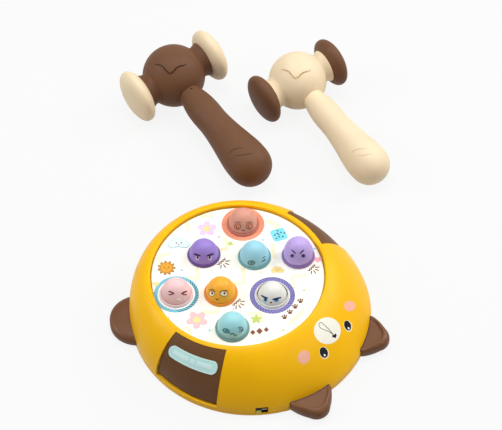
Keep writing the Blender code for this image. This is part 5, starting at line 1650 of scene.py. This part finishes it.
def face_orange(p):
    for middle, half in ((-9.2, 2.7), (3.2, 3.6)):
        p.oval(middle, -2.4, half + 0.6, 3.0, "umber", -0.15, 26, 2)
        p.oval(middle, -2.5, half, 2.4, "straw", -0.15, 24, 2)
        p.oval(middle + 0.5, -2.0, 1.1, 1.3, "umber", 0, 16, 1)
    p.stroke([(-12.0, 1.5), (-8.0, 1.6), (-5.6, -0.6)], 0.8, "umber", 0.3)
    p.stroke([(-0.6, -0.4), (2.6, 0.8), (7.0, 0.6)], 0.8, "umber", 0.3)
    p.stroke([(-5.2, -7.6), (-3.8, -8.6), (-2.2, -7.6)], 0.8, "umber", 0.3)


def face_white(p):
    for middle, half in ((-7.0, 2.4), (3.8, 3.2)):
        p.oval(middle, -4.0, half, 2.4, "sky", 0, 22, 2)
        p.oval(middle, -3.4, half * 0.55, 1.6, "navy", 0, 18, 2)
    p.stroke([(-11.2, 0.8), (-8.4, -0.9), (-4.6, -2.0)], 1.7, "navy", 0.3)
    p.stroke([(8.8, -1.2), (5.0, -2.2), (0.2, -3.2)], 1.7, "navy", 0.3)
    p.oval(-1.4, -6.4, 1.3, 0.7, "umber", 0, 16, 1)


def curl(p, u, v, size, colour, width=0.75):
    p.stroke([(u + size * 0.1 * t * cos(t * 0.9), v + size * 0.075 * t * sin(t * 0.9)) for t in range(1, 11)],
             width, colour, 0.2)


def face_teal(p):
    p.oval(-3.2, -8.0, 4.0, 2.4, "olive", 0, 28, 2)
    p.oval(-3.2, -8.0, 2.9, 1.4, "teal", 0, 24, 2)
    p.oval(-2.8, -8.0, 1.4, 0.8, "olive", 0, 16, 1)
    p.stroke([(7.6, -7.4), (8.6, -5.6), (9.8, -6.4), (10.6, -4.4), (11.8, -4.6)], 0.8, "slate", 0.3)
    p.stroke([(8.0, -3.8), (9.6, -2.4), (11.6, -1.6)], 0.7, "slate", 0.3)


def face_mint(p):
    p.oval(-6.2, -4.4, 3.7, 2.3, "slate", -0.35, 28, 2)
    p.oval(-6.2, -4.4, 2.7, 1.4, "teal", -0.35, 24, 2)
    p.oval(-5.9, -4.4, 1.2, 0.8, "slate", 0, 16, 1)
    p.stroke([(-3.0, -6.0), (-1.4, -8.0), (0.6, -6.8), (2.4, -9.0), (4.6, -8.4)], 0.85, "slate", 0.3)
    curl(p, 8.2, -2.6, 3.2, "slate")
    p.stroke([(6.0, -5.0), (8.4, -5.8), (10.6, -3.6)], 0.6, "slate", 0.3)


FACES = {"purple": face_purple, "lilac": face_lilac, "salmon": face_salmon, "pink": face_pink,
         "orange": face_orange, "white": face_white, "teal": face_teal, "mint": face_mint}

# %% Moles and collars
COLLAR_TAIL = 0.0067
COLLAR_FLANGE = 0.0010
COLLAR_STEP = 0.0010
COLLAR_HEIGHT = 0.0026
COLLAR_EDGE = 0.0005
collar_base = SHEET_TOP + GAP
collar_outline = [(COLLAR_BORE, SHEET_TOP - COLLAR_TAIL)] + rounded_path([
    (COLLAR_BORE, SHEET_TOP - COLLAR_TAIL), (COLLAR_SLEEVE, SHEET_TOP - COLLAR_TAIL),
    (COLLAR_SLEEVE, collar_base), (COLLAR_SLEEVE + COLLAR_FLANGE, collar_base),
    (COLLAR_SLEEVE + COLLAR_FLANGE, collar_base + COLLAR_STEP),
    (COLLAR_SLEEVE, collar_base + COLLAR_HEIGHT),
    (COLLAR_BORE, collar_base + COLLAR_HEIGHT)], COLLAR_EDGE, 3)
for name, at in MOLE_AT.items():
    middle = MOLE_MIDDLE + RISE.get(name, 0.0)
    cap = keep("mole_cap_" + name, turned_mesh("mole_cap_" + name, mole_outline, 64), MOLE_FINISH[name])
    cap.location = (at.x, at.y, middle)
    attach(cap, "mole_%s_body" % name)
    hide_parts("mole_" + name)
    collar = keep("mole_collar_" + name, turned_mesh("mole_collar_" + name, collar_outline, 64),
                  COLLAR_OWN_AND_SHADE_FINISH[name])
    collar.location = (at.x, at.y, 0)
    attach(collar, "base")
    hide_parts("collar_" + name)
    face = Print(on_dome(at, middle))
    FACES[name](face)
    face.finish("mole_face_" + name, "mole_%s_body" % name)
print("moles:", len(MOLE_AT))

# %% [markdown]
# ## Hammers
#
# Each hammer is a ball with two short necks, a fat round-edged lens on each, and a handle that swells
# to a bulb at its end. The forms are turned, then laid down: the ball, the bulb and the rim of one lens
# touch the table, so the hammer leans a little towards that lens. The ball carries a drawn winged line,
# and the bulb two short creases. A groove is a bar along the line, pushed a little way in and cut out.

# %% Hammer sizes
BALL_RADIUS = 0.0365
NECK_RADIUS = 0.0188
NECK_FLARE = 0.0212
NECK_OVERLAP = 0.0020
FACE_RADIUS = 0.0316
FACE_RIM = 0.0504
FACE_HALF = 0.0125
FACE_POWER = 2.2
PEG_RADIUS = 0.0075
PEG_LENGTH = 0.008
NOTCH_RADIUS = 0.0014
CREASE_RADIUS = 0.0007
PIT_RADIUS = 0.0013
HANDLE_LENGTH = 0.1800
HANDLE_GRIP = 0.0253
FACE_BACK = FACE_RIM - FACE_HALF * (1 - (NECK_FLARE / FACE_RADIUS) ** FACE_POWER) ** (1 / FACE_POWER)
HANDLE_PLACES = [(0.16, 0.50), (0.215, 0.57), (0.29, 0.675), (0.37, 0.715), (0.47, 0.71), (0.58, 0.78),
                 (0.69, 0.895), (0.78, 0.985), (0.85, 1.0), (0.92, 0.985)]
HANDLE_END_POWER = 2.2
HAMMERS = {
    "brown_hammer": ((0.1996, 0.2578), radians(-108.9), 0.9965, hammer_brown, hammer_cream),
    "cream_hammer": ((0.2805, 0.1391), radians(-110.6), 0.922, hammer_cream, hammer_brown),
}


# %% Outlines of the head, the faces and the handle
def head_outline():
    meet = acos(NECK_RADIUS * 1.06 / BALL_RADIUS)
    ball = [(BALL_RADIUS * cos(meet * i / 34), BALL_RADIUS * sin(meet * i / 34)) for i in range(34)]
    neck_end = BALL_RADIUS * sin(meet)
    head_end = FACE_BACK - GAP
    span = head_end - neck_end
    neck = smooth_curve([(neck_end - NECK_OVERLAP, NECK_RADIUS * 1.14),
                         (neck_end + span * 0.02, NECK_RADIUS * 1.04), (neck_end + span * 0.35, NECK_RADIUS),
                         (head_end - span * 0.22, NECK_FLARE * 0.955),
                         (head_end, NECK_FLARE)], 5)
    half = ball[:-1] + [(p.y, p.x) for p in neck[5:]] + [(0.0, head_end)]
    return [(r, -a) for r, a in reversed(half)] + half[1:]


def lens_outline(steps):
    """A striking face: a peg under a lens that is cut off square where it meets the head."""
    low_turn = acos((NECK_FLARE / FACE_RADIUS) ** (FACE_POWER / 2))
    lens = []
    for i in range(steps):
        out, along = oval_point(-low_turn + (pi / 2 + low_turn) * i / steps, FACE_POWER)
        lens.append((FACE_RADIUS * out, FACE_RIM + FACE_HALF * along))
    peg = [(0.0, FACE_BACK - PEG_LENGTH), (PEG_RADIUS, FACE_BACK - PEG_LENGTH), (PEG_RADIUS, FACE_BACK)]
    return peg + lens + [(0.0, FACE_RIM + FACE_HALF)]


def handle_curve():
    """The handle's side as (length, radius): a smooth line to the bulb, then a full round end."""
    points = [(place * HANDLE_LENGTH, part * HANDLE_GRIP) for place, part in HANDLE_PLACES]
    side = smooth_curve(points, 6)[:-6]
    reach = HANDLE_LENGTH - side[-1].x
    rounded_end = []
    for i in range(1, 15):
        out, along = oval_point(radians(90 * i / 15), HANDLE_END_POWER)
        rounded_end.append(Vector((side[-1].x + reach * along, side[-1].y * out)))
    return side + rounded_end


def handle_outline():
    return [(0.0, HANDLE_PLACES[0][0] * HANDLE_LENGTH)] + [(p.y, p.x) for p in handle_curve()] + [
        (0.0, HANDLE_LENGTH)]


# %% How a hammer lies
def resting_turn(outline):
    """The turn that lays a piece of (radius, length) points on the table beside the ball."""
    found = []
    for radius, length in outline:
        reach = hypot(radius, length)
        if reach > BALL_RADIUS:
            found.append(asin(BALL_RADIUS / reach) - atan2(radius, length))
    return min(found)


lie_across = resting_turn(lens_outline(24))
lie_along = resting_turn(handle_outline())
print("a hammer leans by degrees:", round(lie_across / radians(1), 2), round(lie_along / radians(1), 2))

# %% Grooves
NOTCH = [(-5.6, -19.8, 30.1), (-0.9, -17.0, 32.3), (3.8, -14.9, 33.1), (9.4, -14.3, 32.2),
         (13.5, -13.8, 31.0), (16.6, -12.5, 30.0), (16.4, -8.8, 31.4), (15.3, -3.2, 33.0),
         (15.6, 1.4, 33.0), (16.8, 5.3, 32.0), (16.4, 9.7, 31.1)]
BROW_RIGHT = Vector((0.57, 0.82, 0))
BROW_BEHIND = Vector((-0.82, 0.57, 0))
BROW_RAISE = 0.0010
BROW_FADE = 0.015
BROW_STEP = 0.0010
BALL_SKIN = 0.0002
CREASES = (((140.5, -17.2), (141.0, -12.3), (144.0, -7.0), (147.9, -1.6)),
           ((148.6, -14.5), (154.1, -8.5), (157.5, -3.0), (159.4, 2.6)))
PIT = ((37.5, 1.0), (38.5, 1.0))
PIT_DEPTHS = (1.5, 0.2, -1.6)


def ball_line(points):
    return [point.normalized() * (BALL_RADIUS - BALL_SKIN) for point in even_points(points, 44)]


def raise_brow(mesh):
    """Swell the ball behind the winged line, so that the line is the edge of a low brow."""
    line = sorted((BROW_RIGHT.dot(Vector(p)) * MM, BROW_BEHIND.dot(Vector(p)) * MM) for p in NOTCH)
    for corner in mesh.vertices:
        if corner.co.z <= 0 or abs(corner.co.length - BALL_RADIUS) > BALL_SKIN:
            continue
        right, behind = BROW_RIGHT.dot(corner.co), BROW_BEHIND.dot(corner.co)
        for (u0, v0), (u1, v1) in zip(line, line[1:]):
            if u0 <= right < u1:
                past = behind - (v0 + (v1 - v0) * (right - u0) / (u1 - u0))
                rise = min(max(past / BROW_STEP + 0.5, 0), 1) * exp(-(max(past, 0) / BROW_FADE) ** 2)
                rise *= 1 - abs(2 * (right - line[0][0]) / (line[-1][0] - line[0][0]) - 1) ** 3
                corner.co *= 1 + BROW_RAISE * rise / BALL_RADIUS


def grip_line(points):
    side = handle_curve()
    out = []
    for x, y in [tuple(p) for p in even_points(points, 20)]:
        near = min(side, key=lambda p: abs(p.x - x * MM))
        out.append(Vector((x * MM, y * MM, sqrt(near.y ** 2 - (y * MM) ** 2))))
    return out


# %% Make both hammers
def turned_piece(name, outline, steps, finish, turn):
    """Spin an outline and turn it along the hammer's own axes."""
    mesh = turned_mesh(name, outline, steps)
    mesh.transform(turn)
    return keep(name, mesh, finish)


for name, (place, heading, size, body_finish, end_finish) in HAMMERS.items():
    lying = (Matrix.Translation((*place, BALL_RADIUS * size)) @ Matrix.Rotation(heading, 4, "Z")
             @ Matrix.Rotation(lie_along, 4, "Y") @ Matrix.Rotation(lie_across, 4, "X")
             @ Matrix.Scale(size, 4))
    body_slot, end_slot = ("hammer_brown", "hammer_cream") if name == "brown_hammer" else (
        "hammer_cream", "hammer_brown")
    head = turned_piece(name + "_ball", head_outline(), 192, body_finish, Matrix.Rotation(-pi / 2, 4, "X"))
    raise_brow(head.data)
    carve(head, [("DIFFERENCE", bar_mesh("notch", ball_line(NOTCH), NOTCH_RADIUS))])
    grip = turned_piece(name + "_grip", handle_outline(), 96, body_finish, Matrix.Rotation(pi / 2, 4, "Y"))
    marks = [bar_mesh("crease", grip_line(line), CREASE_RADIUS) for line in CREASES]
    if name == "brown_hammer":
        spot = grip_line(PIT)[0]
        depths = [spot + Vector((0, 0, z * MM)) for z in PIT_DEPTHS]
        marks.append(bar_mesh("pit", depths, PIT_RADIUS, 0.3))
    carve(grip, [("DIFFERENCE", mark) for mark in marks])
    pieces_of = [(head, name + "_head", body_slot), (grip, name + "_handle", body_slot)]
    for sign, end in ((-1, "far"), (1, "near")):
        lens = turned_piece(name + "_lens_" + end, lens_outline(24), 96, end_finish,
                            Matrix.Rotation(sign * pi / 2, 4, "X"))
        pieces_of.append((lens, name + "_face_" + end, end_slot))
    for piece, node, slot_name in pieces_of:
        piece.data.transform(lying)
        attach(piece, name)
        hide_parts(node)
    print(name, "mesh corners of head, handle and faces:", [len(item[0].data.vertices) for item in pieces_of])
print("hammers:", len(HAMMERS))

# %% [markdown]
# ## What is inside
#
# The board, the cells, the speaker, the springs and the screws hardly show, but they are there when
# the battery door swings open or a mole is lifted, so each gets the finish of its own kind. Most of
# their solids are good as they are, and the door only gets a softer edge. The springs are drawn anew,
# as coils with closed ends.

# %% Finishes of the inner pieces
def metal(name, colour, rough, stretch=(1, 1, 1)):
    made, made_nodes, links = new_material(name)
    tree = made.node_tree
    shader = made_nodes["Principled BSDF"]
    shader.inputs["Metallic"].default_value = 1.0
    tint = blended(tree, spread(tree, cloud(tree, 0.004, stretch=stretch), 0, 1), rgba(colour, 0.9),
                   rgba(colour, 1.08))
    links.new(tint, shader.inputs["Base Color"])
    links.new(spread(tree, cloud(tree, 0.0015, stretch=stretch), rough - 0.08, rough + 0.1),
              shader.inputs["Roughness"])
    links.new(raised(tree, cloud(tree, 0.0005, 2.0, stretch), 0.00001, 0.5), shader.inputs["Normal"])
    return made


def board_material():
    """Green lacquer with the faint darker web of copper tracks under it."""
    made, made_nodes, links = new_material("board_green")
    tree = made.node_tree
    shader = made_nodes["Principled BSDF"]
    place = tree.nodes.new("ShaderNodeTexCoord")
    tracks = tree.nodes.new("ShaderNodeTexBrick")
    tracks.inputs["Scale"].default_value = 160
    tracks.inputs["Color1"].default_value = rgba((38, 104, 60))
    tracks.inputs["Color2"].default_value = rgba((46, 116, 68))
    tracks.inputs["Mortar"].default_value = rgba((70, 138, 84))
    links.new(place.outputs["Object"], tracks.inputs["Vector"])
    links.new(tracks.outputs["Color"], shader.inputs["Base Color"])
    links.new(spread(tree, cloud(tree, 0.006), 0.28, 0.42), shader.inputs["Roughness"])
    links.new(raised(tree, tracks.outputs["Fac"], 0.00003, 0.4), shader.inputs["Normal"])
    return made


steel_finish = metal("steel", (188, 190, 194), 0.3, (1, 1, 4))
cell_finish = moulded("cell_sleeve", (66, 74, 90), 0.28, 0.12, 0.0010, 0.00001, coat=0.4)
board_finish = board_material()
INNER = {"circuit_board": board_finish, "speaker": black_finish, "play_panel": panel_finish,
         "battery_door": shell_finish}
for node, solid in nodes.items():
    if solid.hide_render:
        continue
    if node.startswith("battery_") and node != "battery_door":
        finish = cell_finish
    else:
        finish = INNER.get(node, steel_finish)
    solid.data.materials.clear()
    solid.data.materials.append(finish)
    if node == "battery_door":
        soften(solid, 0.00025, 2)

# %% Springs under the moles
SPRING_WIRE = 0.0009
SPRING_TURNS = 5
END_TURNS = 0.9
SPRING_STEPS = 20
for name in MOLE_AT:
    spring_low, spring_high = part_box("spring_" + name)
    middle = (spring_low + spring_high) / 2
    radius = (spring_high.x - spring_low.x - SPRING_WIRE) / 2
    bottom = spring_low.z + SPRING_WIRE / 2
    rise = spring_high.z - spring_low.z - SPRING_WIRE
    flat = SPRING_WIRE * 1.1
    line = []
    for i in range(SPRING_TURNS * SPRING_STEPS + 1):
        turns = i / SPRING_STEPS
        open_part = min(max((turns - END_TURNS) / (SPRING_TURNS - 2 * END_TURNS), 0), 1)
        ends = min(turns / END_TURNS, 1) + min(max(turns - SPRING_TURNS + END_TURNS, 0) / END_TURNS, 1)
        height = bottom + flat * ends + (rise - 2 * flat) * open_part
        line.append((middle.x + radius * cos(2 * pi * turns), middle.y + radius * sin(2 * pi * turns),
                     height))
    spring = keep("coil_" + name, bar_mesh("coil_" + name, line, SPRING_WIRE / 2, 0), steel_finish)
    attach(spring, "base")
    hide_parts("spring_" + name)
    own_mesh(spring)
shown = [n for n, solid in nodes.items() if not solid.hide_render]
print("solids shown as they are:", len(shown))
